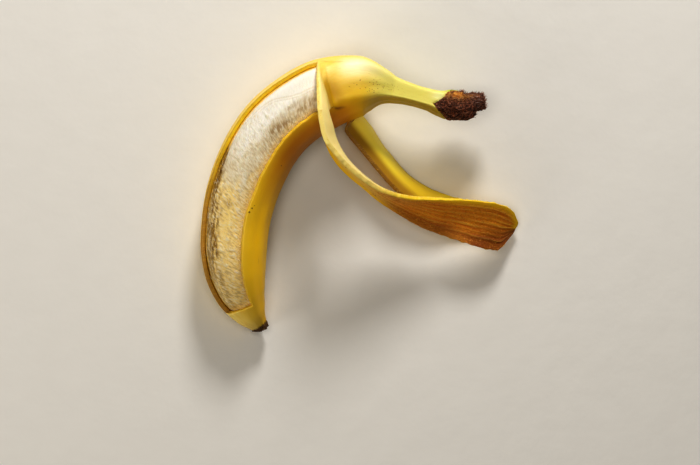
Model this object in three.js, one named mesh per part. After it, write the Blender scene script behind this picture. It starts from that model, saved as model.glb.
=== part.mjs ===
// A part-peeled plantain banana, lying on its side, in millimetres with +Z up.
// The fruit curves in the XY plane. Two strips of its peel are turned back toward the stem:
// the near strip from the upper side, and the far strip from the side it lies on.
import * as THREE from "three";

// Driving dimensions ---------------------------------------------------------------------------
const PEEL_THICKNESS = 2.3;
const PULP_GAP = 0.3;           // clearance between the flesh and the inside of the peel
const FOLD_LIFT = 1.3;          // how steeply a strip leaves the skin where it folds back
const FRAME_SHIFT = new THREE.Vector3(-0.25, -0.6, 0);   // puts the origin under the middle of the part

// The fruit from blossom end to crown: centre of the section x, y, its height z and its radius.
const STATIONS = [
  { at: [-49.5, -68.3, 6.2], radius: 4.0 },
  { at: [-51.5, -65.2, 6.8], radius: 4.6 },
  { at: [-55.8, -59.0, 9.2], radius: 8.6 },
  { at: [-60.2, -50.0, 12.3], radius: 12.6 },
  { at: [-63.0, -39.5, 14.9], radius: 15.2 },
  { at: [-64.0, -27.0, 16.3], radius: 16.6 },
  { at: [-63.1, -14.0, 16.7], radius: 17.0 },
  { at: [-61.0, -3.0, 17.2], radius: 17.5 },
  { at: [-57.8, 7.5, 17.6], radius: 17.9 },
  { at: [-53.5, 17.6, 17.9], radius: 18.2 },
  { at: [-48.5, 26.7, 18.1], radius: 18.3 },
  { at: [-41.5, 35.6, 18.7], radius: 18.3 },
  { at: [-31.3, 44.0, 19.8], radius: 18.2 },
  { at: [-19.7, 50.5, 21.4], radius: 18.0 },
  { at: [-8.7, 53.8, 22.4], radius: 16.6 },
  { at: [0.5, 55.1, 23.0], radius: 14.9 },
  { at: [5.8, 55.0, 23.0], radius: 12.3 },
  { at: [10.6, 54.3, 23.0], radius: 9.2 },
  { at: [16.0, 52.8, 22.8], radius: 6.6 },
  { at: [22.2, 51.2, 22.5], radius: 5.6 },
  { at: [28.8, 49.3, 22.0], radius: 5.2 },
  { at: [34.5, 47.7, 21.5], radius: 5.4 },
  { at: [39.5, 46.1, 21.0], radius: 6.4 },
  { at: [44.5, 45.2, 20.5], radius: 7.6 },
  { at: [52.0, 44.7, 20.0], radius: 7.4 },
  { at: [56.2, 46.2, 20.0], radius: 5.2 },
  { at: [61.7, 47.0, 20.0], radius: 3.8 },
];

// Where things change along the fruit, counted in stations.
const WINDOW_START = 2.6;       // both windows start just above the blossom end
const NEAR_HINGE = 13.5;        // each strip is still joined to the peel from here on
const FAR_HINGE = 14.3;
const CAVITY_START = 0.9;       // the flesh fills the peel between these two
const DOME_START = 15.4;
const CAVITY_END = 16.6;
const START_ROUNDING = 2.2;     // stations over which each end of the flesh closes
const END_ROUNDING = 2.6;
const START_GROWTH = 0.15;      // stations that each end moves out for a millimetre less depth
const END_GROWTH = 0.12;
const POLE_INSET = 0.03;        // keeps the hollow's end points off its last rings

// Edges of the near window in degrees round the fruit, from +Z toward the inside of the curve.
const NEAR_EDGES = [
  { station: 0, outer: -76, inner: 22 },
  { station: 5, outer: -80, inner: 16 },
  { station: 6.5, outer: -78, inner: 19 },
  { station: 8, outer: -73, inner: 23 },
  { station: 9.5, outer: -67, inner: 25 },
  { station: 11, outer: -63, inner: 26 },
  { station: 12.5, outer: -61, inner: 26 },
  { station: 13.5, outer: -62, inner: 29 },
  { station: 27, outer: -62, inner: 29 },
];
const FAR_WINDOW = { inner: 98, outer: 162 };

// Five ridges run the length of the fruit, low on the body and sharper on the stalk.
const RIDGE_COUNT = 5;
const RIDGE_START = 26;
const BODY_RIDGE = 0.035;
const STALK_RIDGE = 0.13;
const RIDGES_SHARPEN = [13, 18];
const RIDGES_FADE = [21, 24];

// Columns of faces across each quarter of the peel, and rows along the fruit.
const COLUMNS = { near: 8, innerBand: 6, far: 6, outerBand: 12 };
const CAP_ROWS = 4;
const WINDOW_ROWS = 21;
const HINGE_ROWS = 2;
const SHOULDER_ROWS = 3;
const STALK_ROWS = 17;
const DOME_ROWS = 5;
const FOLD_ROWS = 5;
const ROWS_PER_STEP = 2;

// Strips turned back: the two edges at each step from the fold to the free end, and how far the
// middle of the strip bulges to its outer side. The first edge is the one on the window's outer
// edge for the near strip, and on its inner edge for the far strip.
const NEAR_STRIP = [
  { a: [-20.0, 54.4, 47.0], b: [-16.2, 41.5, 44.2], bulge: 1.2 },
  { a: [-19.6, 45.0, 53.0], b: [-17.0, 38.3, 44.6], bulge: 2.6 },
  { a: [-18.4, 35.5, 55.0], b: [-17.0, 31.8, 41.0], bulge: 4.2 },
  { a: [-16.2, 27.4, 54.8], b: [-14.8, 24.0, 36.5], bulge: 4.2 },
  { a: [-10.8, 20.2, 53.0], b: [-10.4, 16.6, 33.5], bulge: 3.2 },
  { a: [-4.5, 13.8, 49.5], b: [-4.6, 10.6, 29.8], bulge: 2.6 },
  { a: [3.5, 7.4, 44.5], b: [2.5, 4.8, 25.0], bulge: 2.2 },
  { a: [12.0, 2.8, 38.8], b: [10.1, -1.6, 20.0], bulge: 2.2 },
  { a: [22.0, 0.0, 33.0], b: [18.9, -7.6, 16.0], bulge: 2.2 },
  { a: [33.5, -1.0, 27.5], b: [29.2, -13.8, 13.8], bulge: 2.4 },
  { a: [44.5, -1.8, 22.5], b: [39.8, -18.9, 13.2], bulge: 2.4 },
  { a: [54.5, -2.3, 18.5], b: [51.0, -23.2, 12.8], bulge: 2.4 },
  { a: [64.5, -3.5, 14.5], b: [61.0, -26.4, 10.5], bulge: 2.4 },
  { a: [74.0, -6.6, 9.0], b: [68.0, -26.8, 7.0], bulge: 1.8 },
  { a: [79.6, -11.5, 3.6], b: [74.6, -21.0, 2.6], bulge: 0.8 },
];
const FAR_STRIP = [
  { a: [-7.6, 33.6, 18.5], b: [-2.5, 44.0, 4.0], bulge: 2.2 },
  { a: [-4.2, 29.5, 17.8], b: [4.5, 36.0, 2.6], bulge: 2.2 },
  { a: [2.9, 21.1, 17.3], b: [10.0, 27.5, 2.0], bulge: 2.2 },
  { a: [10.3, 12.2, 16.4], b: [16.0, 19.5, 2.0], bulge: 2.2 },
  { a: [18.2, 3.7, 14.8], b: [23.5, 11.0, 2.0], bulge: 2.0 },
  { a: [26.6, -4.0, 12.5], b: [33.0, 4.5, 2.0], bulge: 1.8 },
  { a: [34.8, -11.2, 9.0], b: [43.0, 0.5, 2.15], bulge: 1.6 },
  { a: [45.5, -15.5, 5.5], b: [53.5, -2.5, 2.3], bulge: 1.4 },
  { a: [57.0, -17.5, 2.9], b: [63.0, -6.0, 2.4], bulge: 1.0 },
  { a: [66.5, -15.5, 2.4], b: [68.0, -10.5, 2.4], bulge: 0.4 },
];

// Sections along the fruit ---------------------------------------------------------------------
const lastStation = STATIONS.length - 1;
const spine = new THREE.CatmullRomCurve3(STATIONS.map(({ at }) => new THREE.Vector3(...at)));
const girth = new THREE.CatmullRomCurve3(STATIONS.map(({ radius }) => new THREE.Vector3(radius)));
const up = new THREE.Vector3(0, 0, 1);

function smooth(value, from, to) {
  return THREE.MathUtils.smoothstep(value, from, to);
}

function frameAt(station) {
  const along = spine.getTangent(station / lastStation);
  const inward = new THREE.Vector3().crossVectors(along, up).normalize();
  const upper = new THREE.Vector3().crossVectors(inward, along);
  return { centre: spine.getPoint(station / lastStation), along, inward, upper };
}

function direction({ inward, upper }, degrees) {
  const angle = THREE.MathUtils.degToRad(degrees);
  return upper.clone().multiplyScalar(Math.cos(angle)).addScaledVector(inward, Math.sin(angle));
}

function ridged(station, degrees) {
  const sharp = THREE.MathUtils.lerp(BODY_RIDGE, STALK_RIDGE, smooth(station, ...RIDGES_SHARPEN));
  const fade = 1 - smooth(station, ...RIDGES_FADE);
  const turn = THREE.MathUtils.degToRad((degrees - RIDGE_START) * RIDGE_COUNT);
  return 1 + sharp * fade * (0.5 * Math.cos(turn) + 0.5 * Math.cos(turn) ** 2 - 0.25);
}

function skinPoint(station, degrees) {
  const frame = frameAt(station);
  const radius = girth.getPoint(station / lastStation).x * ridged(station, degrees);
  const point = frame.centre.clone().addScaledVector(direction(frame, degrees), radius);
  point.z = Math.max(point.z, 0);
  return point;
}

// The surface of the flesh, or of the hollow round it, at a depth below the skin.
function innerPoint(station, degrees, depth) {
  const frame = frameAt(station);
  const grow = PEEL_THICKNESS + PULP_GAP - depth;
  const first = CAVITY_START - START_GROWTH * grow;
  const last = CAVITY_END + END_GROWTH * grow;
  const startRound = Math.min((station - first) / START_ROUNDING, 1);
  const endRound = Math.min((last - station) / END_ROUNDING, 1);
  const round = Math.sqrt(Math.max(startRound * (2 - startRound) * endRound * (2 - endRound), 0));
  const radius = girth.getPoint(station / lastStation).x * ridged(station, degrees);
  const full = Math.max(radius - depth, 0) * round;
  const point = frame.centre.clone().addScaledVector(direction(frame, degrees), full);
  point.z = Math.max(point.z, depth);
  return point;
}

// Angles round one section: the panels' edges move with the near window.
function nearEdges(station) {
  const next = NEAR_EDGES.findIndex((edge) => edge.station >= station);
  const after = NEAR_EDGES[Math.max(next, 1)];
  const before = NEAR_EDGES[Math.max(next, 1) - 1];
  const share = (station - before.station) / (after.station - before.station);
  return {
    outer: THREE.MathUtils.lerp(before.outer, after.outer, share),
    inner: THREE.MathUtils.lerp(before.inner, after.inner, share),
  };
}

function columnAngles(station) {
  const near = nearEdges(station);
  const panels = [
    [near.outer, near.inner, COLUMNS.near],
    [near.inner, FAR_WINDOW.inner, COLUMNS.innerBand],
    [FAR_WINDOW.inner, FAR_WINDOW.outer, COLUMNS.far],
    [FAR_WINDOW.outer, near.outer + 360, COLUMNS.outerBand],
  ];
  return panels.flatMap(([from, to, count]) =>
    Array.from({ length: count }, (_, k) => from + ((to - from) * k) / count));
}

function spread(from, to, count) {
  return Array.from({ length: count }, (_, k) => from + ((to - from) * (k + 1)) / count);
}

const bodyStations = [
  ...spread(WINDOW_START, NEAR_HINGE, WINDOW_ROWS),
  ...spread(NEAR_HINGE, FAR_HINGE, HINGE_ROWS),
  ...spread(FAR_HINGE, DOME_START, SHOULDER_ROWS),
];

// Closed bodies --------------------------------------------------------------------------------
function bodyFromFaces(points, faces) {
  const geometry = new THREE.BufferGeometry();
  geometry.setAttribute("position", new THREE.Float32BufferAttribute(points.flatMap((p) => p.toArray()), 3));
  const triangles = faces.flatMap((face) =>
    face.length === 3 ? face : [face[0], face[1], face[2], face[0], face[2], face[3]]);
  geometry.setIndex(triangles);
  geometry.computeVertexNormals();
  return geometry;
}

// Faces between rings of equal count, with a single point closing each end that has one.
function ringFaces(rings, keep = () => true) {
  const faces = [];
  for (let i = 0; i + 1 < rings.length; i += 1) {
    const count = Math.max(rings[i].length, rings[i + 1].length);
    for (let j = 0; j < count; j += 1) {
      if (keep(i, j)) {
        const low = rings[i];
        const high = rings[i + 1];
        const next = (j + 1) % count;
        if (low.length === 1) faces.push([low[0], high[next], high[j]]);
        else if (high.length === 1) faces.push([low[j], low[next], high[0]]);
        else faces.push([low[j], low[next], high[next], high[j]]);
      }
    }
  }
  return faces;
}

function boundaryEdges(faces) {
  const edges = new Map();
  for (const face of faces) {
    face.forEach((from, k) => {
      const to = face[(k + 1) % face.length];
      edges.set(`${from} ${to}`, [from, to]);
    });
  }
  return [...edges.values()].filter(([from, to]) => !edges.has(`${to} ${from}`));
}

// A strip turned back ----------------------------------------------------------------------------
function stripSection(step, across, normal, depth) {
  const point = new THREE.Vector3(...step.a).lerp(new THREE.Vector3(...step.b), across);
  return point.addScaledVector(normal, step.bulge * 4 * across * (1 - across) - depth);
}

function stepNormals(steps) {
  const middles = steps.map(({ a, b }) =>
    new THREE.Vector3(...a).add(new THREE.Vector3(...b)).divideScalar(2));
  return steps.map(({ a, b }, k) => {
    const ahead = middles[Math.min(k + 1, steps.length - 1)].clone().sub(middles[Math.max(k - 1, 0)]);
    const width = new THREE.Vector3(...b).sub(new THREE.Vector3(...a));
    return ahead.cross(width).normalize();
  });
}

// One line along the strip: it leaves the skin along the fruit, folds over and runs to the end.
function stripLine(steps, normals, hingePoint, leaveDirection, across, depth) {
  const points = steps.map((step, k) => stripSection(step, across, normals[k], depth));
  const leave = leaveDirection.clone().multiplyScalar(hingePoint.distanceTo(points[0]) + depth);
  const arrive = points[1].clone().sub(hingePoint).multiplyScalar(0.5);
  const fold = spread(0, 1, FOLD_ROWS).map((t) => hingePoint.clone()
    .multiplyScalar((2 * t - 3) * t * t + 1)
    .addScaledVector(leave, ((t - 2) * t + 1) * t)
    .addScaledVector(points[0], (3 - 2 * t) * t * t)
    .addScaledVector(arrive, (t - 1) * t * t));
  const rest = new THREE.CatmullRomCurve3(points);
  const count = (points.length - 1) * ROWS_PER_STEP;
  return [...fold, ...spread(0, 1, count).map((t) => rest.getPoint(t))];
}

// The peel -----------------------------------------------------------------------------------------
function makePeel() {
  const outer = [];
  const inner = [];
  const addPair = (outside, inside) => {
    outer.push(outside);
    inner.push(inside);
    return outer.length - 1;
  };
  const ring = (station, innerStation) => columnAngles(station).map((degrees) =>
    addPair(skinPoint(station, degrees), innerPoint(innerStation, degrees, PEEL_THICKNESS)));

  const skinRows = [...spread(0, WINDOW_START, CAP_ROWS), ...bodyStations];
  const firstCavity = CAVITY_START - POLE_INSET;
  const innerRows = skinRows.map((station, k) =>
    k < CAP_ROWS ? THREE.MathUtils.lerp(firstCavity, WINDOW_START, (k + 1) / CAP_ROWS) : station);
  const startPole = addPair(spine.getPoint(0), spine.getPoint(firstCavity / lastStation));
  const sheetRings = [[startPole], ...skinRows.map((station, k) => ring(station, innerRows[k]))];
  const nearHingeRow = CAP_ROWS + WINDOW_ROWS;
  const farColumn = COLUMNS.near + COLUMNS.innerBand;
  const strips = [
    { steps: NEAR_STRIP, from: 0, to: COLUMNS.near, hingeRow: nearHingeRow },
    { steps: FAR_STRIP, from: farColumn, to: farColumn + COLUMNS.far, hingeRow: nearHingeRow + HINGE_ROWS },
  ];
  const sheet = ringFaces(sheetRings, (i, j) => strips.every(({ from, to, hingeRow }) =>
    i < CAP_ROWS || i >= hingeRow || j < from || j >= to));

  for (const { steps, from, to, hingeRow } of strips) {
    const normals = stepNormals(steps);
    const frame = frameAt(skinRows[hingeRow - 1]);
    const lines = [];
    for (let j = from; j <= to; j += 1) {
      const hinge = sheetRings[hingeRow][j];
      const away = outer[hinge].clone().sub(frame.centre).normalize();
      const leave = frame.along.clone().negate().addScaledVector(away, FOLD_LIFT).normalize();
      const across = (j - from) / (to - from);
      const outside = stripLine(steps, normals, outer[hinge], leave, across, 0);
      const inside = stripLine(steps, normals, inner[hinge], leave, across, PEEL_THICKNESS);
      lines.push([hinge, ...outside.map((point, i) => addPair(point, inside[i]))]);
    }
    const last = lines[0].length - 1;
    for (let i = 0; i < last; i += 1) {
      for (let j = 0; j + 1 < lines.length; j += 1) {
        sheet.push([lines[j][i], lines[j][i + 1], lines[j + 1][i + 1], lines[j + 1][i]]);
      }
    }
  }

  const cavityEndRing = sheetRings[sheetRings.length - 1];
  const stalkRings = [cavityEndRing, ...spread(DOME_START, lastStation, STALK_ROWS).map((station) =>
    columnAngles(station).map((degrees) => addPair(skinPoint(station, degrees), null)))];
  stalkRings.push([addPair(spine.getPoint(1), null)]);
  const domeStations = spread(DOME_START, CAVITY_END + POLE_INSET, DOME_ROWS);
  const domeRings = [cavityEndRing, ...domeStations.slice(0, -1).map((station) =>
    columnAngles(station).map((degrees) => addPair(null, innerPoint(station, degrees, PEEL_THICKNESS))))];
  domeRings.push([addPair(null, spine.getPoint(domeStations[DOME_ROWS - 1] / lastStation))]);

  const skin = [...sheet, ...ringFaces(stalkRings)];
  const lining = [...sheet, ...ringFaces(domeRings)];
  const points = [];
  const outerIndex = outer.map((point) => (point ? points.push(point) - 1 : -1));
  const innerIndex = inner.map((point) => (point ? points.push(point) - 1 : -1));
  const faces = [
    ...skin.map((face) => face.map((v) => outerIndex[v])),
    ...lining.map((face) => face.map((v) => innerIndex[v]).reverse()),
    ...boundaryEdges(skin).map(([a, b]) => [outerIndex[b], outerIndex[a], innerIndex[a], innerIndex[b]]),
  ];
  return bodyFromFaces(points, faces);
}

// The flesh ------------------------------------------------------------------------------------------
function makePulp() {
  const depth = PEEL_THICKNESS + PULP_GAP;
  const stations = [
    ...spread(CAVITY_START, WINDOW_START, CAP_ROWS),
    ...bodyStations,
    ...spread(DOME_START, CAVITY_END, DOME_ROWS).slice(0, -1),
  ];
  const points = [spine.getPoint(CAVITY_START / lastStation)];
  const rings = [[0]];
  for (const station of stations) {
    rings.push(columnAngles(station).map((degrees) => points.push(innerPoint(station, degrees, depth)) - 1));
  }
  rings.push([points.push(spine.getPoint(CAVITY_END / lastStation)) - 1]);
  return bodyFromFaces(points, ringFaces(rings));
}

// Assembly -------------------------------------------------------------------------------------------
const peelMaterial = new THREE.MeshStandardMaterial({ color: 0xd9b32a, roughness: 0.5, metalness: 0 });
const pulpMaterial = new THREE.MeshStandardMaterial({ color: 0xe9dfc0, roughness: 0.75, metalness: 0 });

const plantain = new THREE.Group();
for (const [name, geometry, material] of [
  ["peel", makePeel(), peelMaterial],
  ["pulp", makePulp(), pulpMaterial],
]) {
  const mesh = new THREE.Mesh(geometry, material);
  mesh.name = name;
  mesh.position.copy(FRAME_SHIFT);
  plantain.add(mesh);
}

export default plantain;
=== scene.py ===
# %% [markdown]
# # A part-peeled plantain banana
# The fruit lies on its side. Two strips of its peel are turned back toward the stalk, and the
# flesh shows between the two bands of peel that are still on it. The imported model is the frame:
# it fixes every size, and everything below is only a finer form of the same two pieces.

# %% Load the frame
import itertools
import math

import bpy
import numpy as np
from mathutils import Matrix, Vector
from mathutils.kdtree import KDTree


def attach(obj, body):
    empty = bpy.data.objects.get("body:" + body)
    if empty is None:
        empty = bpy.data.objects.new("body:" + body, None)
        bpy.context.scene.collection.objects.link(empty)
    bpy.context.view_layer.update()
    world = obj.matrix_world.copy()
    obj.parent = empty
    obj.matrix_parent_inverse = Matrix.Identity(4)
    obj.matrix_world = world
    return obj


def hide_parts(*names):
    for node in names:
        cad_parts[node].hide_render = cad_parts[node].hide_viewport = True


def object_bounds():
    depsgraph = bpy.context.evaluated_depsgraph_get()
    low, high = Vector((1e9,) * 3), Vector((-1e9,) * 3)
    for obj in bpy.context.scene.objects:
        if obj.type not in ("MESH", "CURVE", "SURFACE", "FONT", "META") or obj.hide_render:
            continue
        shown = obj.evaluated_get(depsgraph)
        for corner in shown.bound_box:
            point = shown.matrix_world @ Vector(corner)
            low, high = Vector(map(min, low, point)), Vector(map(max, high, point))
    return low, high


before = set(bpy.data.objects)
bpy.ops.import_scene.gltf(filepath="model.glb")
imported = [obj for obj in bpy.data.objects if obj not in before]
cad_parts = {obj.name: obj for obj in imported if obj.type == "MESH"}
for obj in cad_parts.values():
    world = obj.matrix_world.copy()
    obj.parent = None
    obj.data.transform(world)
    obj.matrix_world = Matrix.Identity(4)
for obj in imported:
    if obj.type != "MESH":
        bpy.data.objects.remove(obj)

cad_low, cad_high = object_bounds()
print("frame box, mm:", [round(1000 * v, 1) for v in (*cad_low, *cad_high)])

# %% [markdown]
# ## Camera, light and floor
# The fruit is seen from straight above, with the top of the view toward +Y. A long lens keeps the
# raised strip from growing against the body. A soft lamp stands beyond the top of the curve, so
# that edge is bright and the inside of the curve falls into its own shade. A second, larger and
# weaker one above keeps the shade readable, and a third, weaker still, stands low on the side of
# the outer curve and lifts the edge there.

# %% Camera
MM = 0.001
VIEW_WIDTH, VIEW_CENTRE = 0.350, (-0.00575, -0.01936)
CAMERA_HEIGHT, MIDDLE_HEIGHT, SENSOR = 2.2, 0.022, 36.0
NEAREST, FARTHEST = 0.05, 20.0

lens = bpy.data.cameras.new("camera")
lens.sensor_width = SENSOR
lens.lens = SENSOR * (CAMERA_HEIGHT - MIDDLE_HEIGHT) / VIEW_WIDTH
lens.clip_start, lens.clip_end = NEAREST, FARTHEST
camera = bpy.data.objects.new("camera", lens)
camera.location = (*VIEW_CENTRE, CAMERA_HEIGHT)
bpy.context.scene.collection.objects.link(camera)
bpy.context.scene.camera = camera
print("lens", round(lens.lens, 1), "mm")


# %% Lamps and the light around
def area_light(name, place, target, size, power, colour):
    """A round soft lamp; places and size in metres, power in watts."""
    light = bpy.data.lights.new(name, "AREA")
    light.shape, light.size, light.energy, light.color = "DISK", size, power, colour
    lamp = bpy.data.objects.new(name, light)
    lamp.location = place
    lamp.rotation_euler = (Vector(target) - Vector(place)).to_track_quat("-Z", "Y").to_euler()
    bpy.context.scene.collection.objects.link(lamp)
    return lamp


lamps = (area_light("key_light", (0.12, 0.90, 0.50), (-0.01, 0.02, 0.02), 0.26, 6.4, (1.0, 0.975, 0.93)),
         area_light("fill_light", (-0.12, 0.02, 1.15), (0, 0, 0.02), 0.7, 3.2, (1.0, 0.94, 0.84)),
         area_light("low_light", (-0.80, -0.42, 0.32), (0.01, 0.0, 0.02), 0.35, 1.5, (1.0, 0.95, 0.85)))

WORLD_COLOUR, WORLD_STRENGTH = (1.0, 0.94, 0.86, 1), 0.06
world = bpy.data.worlds.new("studio")
world.use_nodes = True
world.node_tree.nodes["Background"].inputs["Color"].default_value = WORLD_COLOUR
world.node_tree.nodes["Background"].inputs["Strength"].default_value = WORLD_STRENGTH
bpy.context.scene.world = world
bpy.context.scene.view_settings.view_transform = "Standard"
bpy.context.scene.view_settings.look = "High Contrast"
print("lamps", [lamp.name for lamp in lamps])


# %% Floor
def mesh_object(name, points, faces, smooth=True):
    """A new object in the scene from points in metres and faces of point numbers."""
    mesh = bpy.data.meshes.new(name)
    mesh.from_pydata([tuple(p) for p in points], [], faces)
    mesh.update()
    mesh.polygons.foreach_set("use_smooth", [smooth] * len(mesh.polygons))
    piece = bpy.data.objects.new(name, mesh)
    bpy.context.scene.collection.objects.link(piece)
    return piece


FLOOR_REACH, FLOOR_DROP = 1.6, 0.0002
CORNERS = ((-1, -1), (1, -1), (1, 1), (-1, 1))
floor = mesh_object("floor", [(FLOOR_REACH * x, FLOOR_REACH * y, 0) for x, y in CORNERS], [(0, 1, 2, 3)])
floor.location.z = -FLOOR_DROP
print("floor", 2 * FLOOR_REACH, "m across")

# %% [markdown]
# ## Materials from expressions
# A finish is a small graph of nodes. Written as expressions it reads like a recipe, so one class
# wraps an output socket and turns +, - and * into Math nodes, and one method adds any other
# node. Most marks on this fruit are one colour laid over another where a painted value says so,
# and tint does that for one row of a list after the other.


# %% Shader sockets as values
class Value:
    """An output of a shader node. Sums and products of values add Math nodes."""

    def __init__(self, finish, socket):
        self.finish, self.socket = finish, socket

    def math(self, operation, *values):
        return self.finish.node("Math", {"operation": operation}, dict(enumerate(values)))

    def __add__(self, other):
        return self.math("ADD", self, other)

    def __sub__(self, other):
        return self.math("SUBTRACT", self, other)

    def __rsub__(self, other):
        return self.math("SUBTRACT", other, self)

    def __mul__(self, other):
        return self.math("MULTIPLY", self, other)

    __radd__, __rmul__ = __add__, __mul__

    def step(self, low, high):
        """0 at low, 1 at high and eased between; low may be the larger of the two."""
        if low > high:
            return 1 - self.step(high, low)
        return self.finish.node("MapRange", {"interpolation_type": "SMOOTHSTEP"},
                                {0: self, 1: low, 2: high, 3: 0.0, 4: 1.0})


# %% Finishes, node by node
class Finish:
    """One material, built node by node."""

    def __init__(self, name):
        self.material = bpy.data.materials.new(name)
        self.material.use_nodes = True
        self.tree = self.material.node_tree
        self.tree.nodes.clear()

    def node(self, kind, settings=None, sockets=None, out=0):
        node = self.tree.nodes.new("ShaderNode" + kind)
        for key, value in (settings or {}).items():
            setattr(node, key, value)
        for key, value in (sockets or {}).items():
            if isinstance(value, Value):
                self.tree.links.new(value.socket, node.inputs[key])
            elif value is not None:
                node.inputs[key].default_value = value
        return Value(self, node.outputs[out])

    def attribute(self, name, out="Fac"):
        return self.node("Attribute", {"attribute_name": name}, out=out)

    def object_place(self):
        """The place on the piece, in metres."""
        return self.node("TexCoord", out=3)

    def stretched(self, vector, scale):
        return self.node("VectorMath", {"operation": "MULTIPLY"}, {0: vector, 1: scale})

    def noise(self, vector, scale, detail=3.0, roughness=0.55, distortion=0.0):
        return self.node("TexNoise", {"noise_dimensions": "3D"},
                         {"Vector": vector, "Scale": scale, "Detail": detail, "Roughness": roughness,
                          "Distortion": distortion})

    def mix(self, factor, first, second):
        """From one colour to another. The node's colours are its inputs 6 and 7 and its output 2."""
        colours = {key: colour if isinstance(colour, Value) else (*colour, 1)
                   for key, colour in ((6, first), (7, second))}
        return self.node("Mix", {"data_type": "RGBA"}, {0: factor, **colours}, out=2)

    def tint(self, colour, *marks):
        """Lay colours over a colour; a mark is a value or a painted name, its strength and its colour."""
        for share, strength, over in marks:
            share = self.attribute(share) if isinstance(share, str) else share
            colour = self.mix(share if strength == 1 else share * strength, colour, over)
        return colour

    def surface(self, sockets, bumps=()):
        """The Principled shader. Each bump is (height, distance in metres), the coarsest first."""
        normal = None
        for height, distance in bumps:
            normal = self.node("Bump", None, {"Height": height, "Distance": distance, "Strength": 1.0,
                                              "Normal": normal})
        shader = self.node("BsdfPrincipled", None, {**sockets, "Normal": normal})
        output = self.tree.nodes.new("ShaderNodeOutputMaterial")
        self.tree.links.new(shader.socket, output.inputs["Surface"])
        return self.material


# %% Finish of the floor
ground = Finish("pale_floor")
grain = ground.noise(ground.object_place(), 60.0, 3)
ground.surface({"Base Color": ground.mix(grain, (0.80, 0.785, 0.76), (0.83, 0.815, 0.79)), "Roughness": 0.8},
               [(grain, 0.0003)])
floor.data.materials.append(ground.material)
print("floor nodes", len(ground.tree.nodes))

# %% [markdown]
# ## Sections along the fruit
# A banana is a bent tube of changing girth, with five low ridges that sharpen on the stalk. The
# tube follows a centripetal Catmull-Rom spline through the same stations as the solids, so the
# fine skin lies on them exactly. The sums run on whole arrays, a ring or a strip at a time.

# %% Stations and edges, in millimetres
FRAME_SHIFT = np.array((-0.25, -0.6, 0.0))      # from the origin of the stations to the frame's
PEEL_THICKNESS, PULP_GAP, FOLD_LIFT = 2.3, 0.3, 1.3
# x, y, height and radius from the blossom end to the crown
STATIONS = np.array((
    (-49.5, -68.3, 6.2, 4.0), (-51.5, -65.2, 6.8, 4.6), (-55.8, -59.0, 9.2, 8.6),
    (-60.2, -50.0, 12.3, 12.6), (-63.0, -39.5, 14.9, 15.2), (-64.0, -27.0, 16.3, 16.6),
    (-63.1, -14.0, 16.7, 17.0), (-61.0, -3.0, 17.2, 17.5), (-57.8, 7.5, 17.6, 17.9),
    (-53.5, 17.6, 17.9, 18.2), (-48.5, 26.7, 18.1, 18.3), (-41.5, 35.6, 18.7, 18.3),
    (-31.3, 44.0, 19.8, 18.2), (-19.7, 50.5, 21.4, 18.0), (-8.7, 53.8, 22.4, 16.6),
    (0.5, 55.1, 23.0, 14.9), (5.8, 55.0, 23.0, 12.3), (10.6, 54.3, 23.0, 9.2),
    (16.0, 52.8, 22.8, 6.6), (22.2, 51.2, 22.5, 5.6), (28.8, 49.3, 22.0, 5.2),
    (34.5, 47.7, 21.5, 5.4), (39.5, 46.1, 21.0, 6.4), (44.5, 45.2, 20.5, 7.6),
    (52.0, 44.7, 20.0, 7.4), (56.2, 46.2, 20.0, 5.2), (61.7, 47.0, 20.0, 3.8)))
SPINE, GIRTH = STATIONS[:, :3], STATIONS[:, 3:]
LAST = len(STATIONS) - 1
STATION_NUMBERS = np.arange(LAST + 1)

WINDOW_START, NEAR_HINGE, FAR_HINGE = 2.6, 13.5, 14.3
CAVITY_START, DOME_START, CAVITY_END = 0.9, 15.4, 16.6
# station, outer edge and inner edge of the near window, in degrees round the fruit
NEAR_EDGES = np.array(((0, -76, 22), (5, -80, 16), (6.5, -78, 19), (8, -73, 23), (9.5, -67, 25),
                       (11, -63, 26), (12.5, -61, 26), (13.5, -62, 29), (27, -62, 29)), float)
FAR_INNER, FAR_OUTER = 98.0, 162.0
RIDGE_COUNT, RIDGE_START, BODY_RIDGE, STALK_RIDGE = 5, 26.0, 0.035, 0.13

# edge a, edge b and bulge at each step of a strip, from its fold to its free end
NEAR_STRIP = np.array((
    (-20.0, 54.4, 47.0, -16.2, 41.5, 44.2, 1.2), (-19.6, 45.0, 53.0, -17.0, 38.3, 44.6, 2.6),
    (-18.4, 35.5, 55.0, -17.0, 31.8, 41.0, 4.2), (-16.2, 27.4, 54.8, -14.8, 24.0, 36.5, 4.2),
    (-10.8, 20.2, 53.0, -10.4, 16.6, 33.5, 3.2), (-4.5, 13.8, 49.5, -4.6, 10.6, 29.8, 2.6),
    (3.5, 7.4, 44.5, 2.5, 4.8, 25.0, 2.2), (12.0, 2.8, 38.8, 10.1, -1.6, 20.0, 2.2),
    (22.0, 0.0, 33.0, 18.9, -7.6, 16.0, 2.2), (33.5, -1.0, 27.5, 29.2, -13.8, 13.8, 2.4),
    (44.5, -1.8, 22.5, 39.8, -18.9, 13.2, 2.4), (54.5, -2.3, 18.5, 51.0, -23.2, 12.8, 2.4),
    (64.5, -3.5, 14.5, 61.0, -26.4, 10.5, 2.4), (74.0, -6.6, 9.0, 68.0, -26.8, 7.0, 1.8),
    (79.6, -11.5, 3.6, 74.6, -21.0, 2.6, 0.8)))
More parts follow.
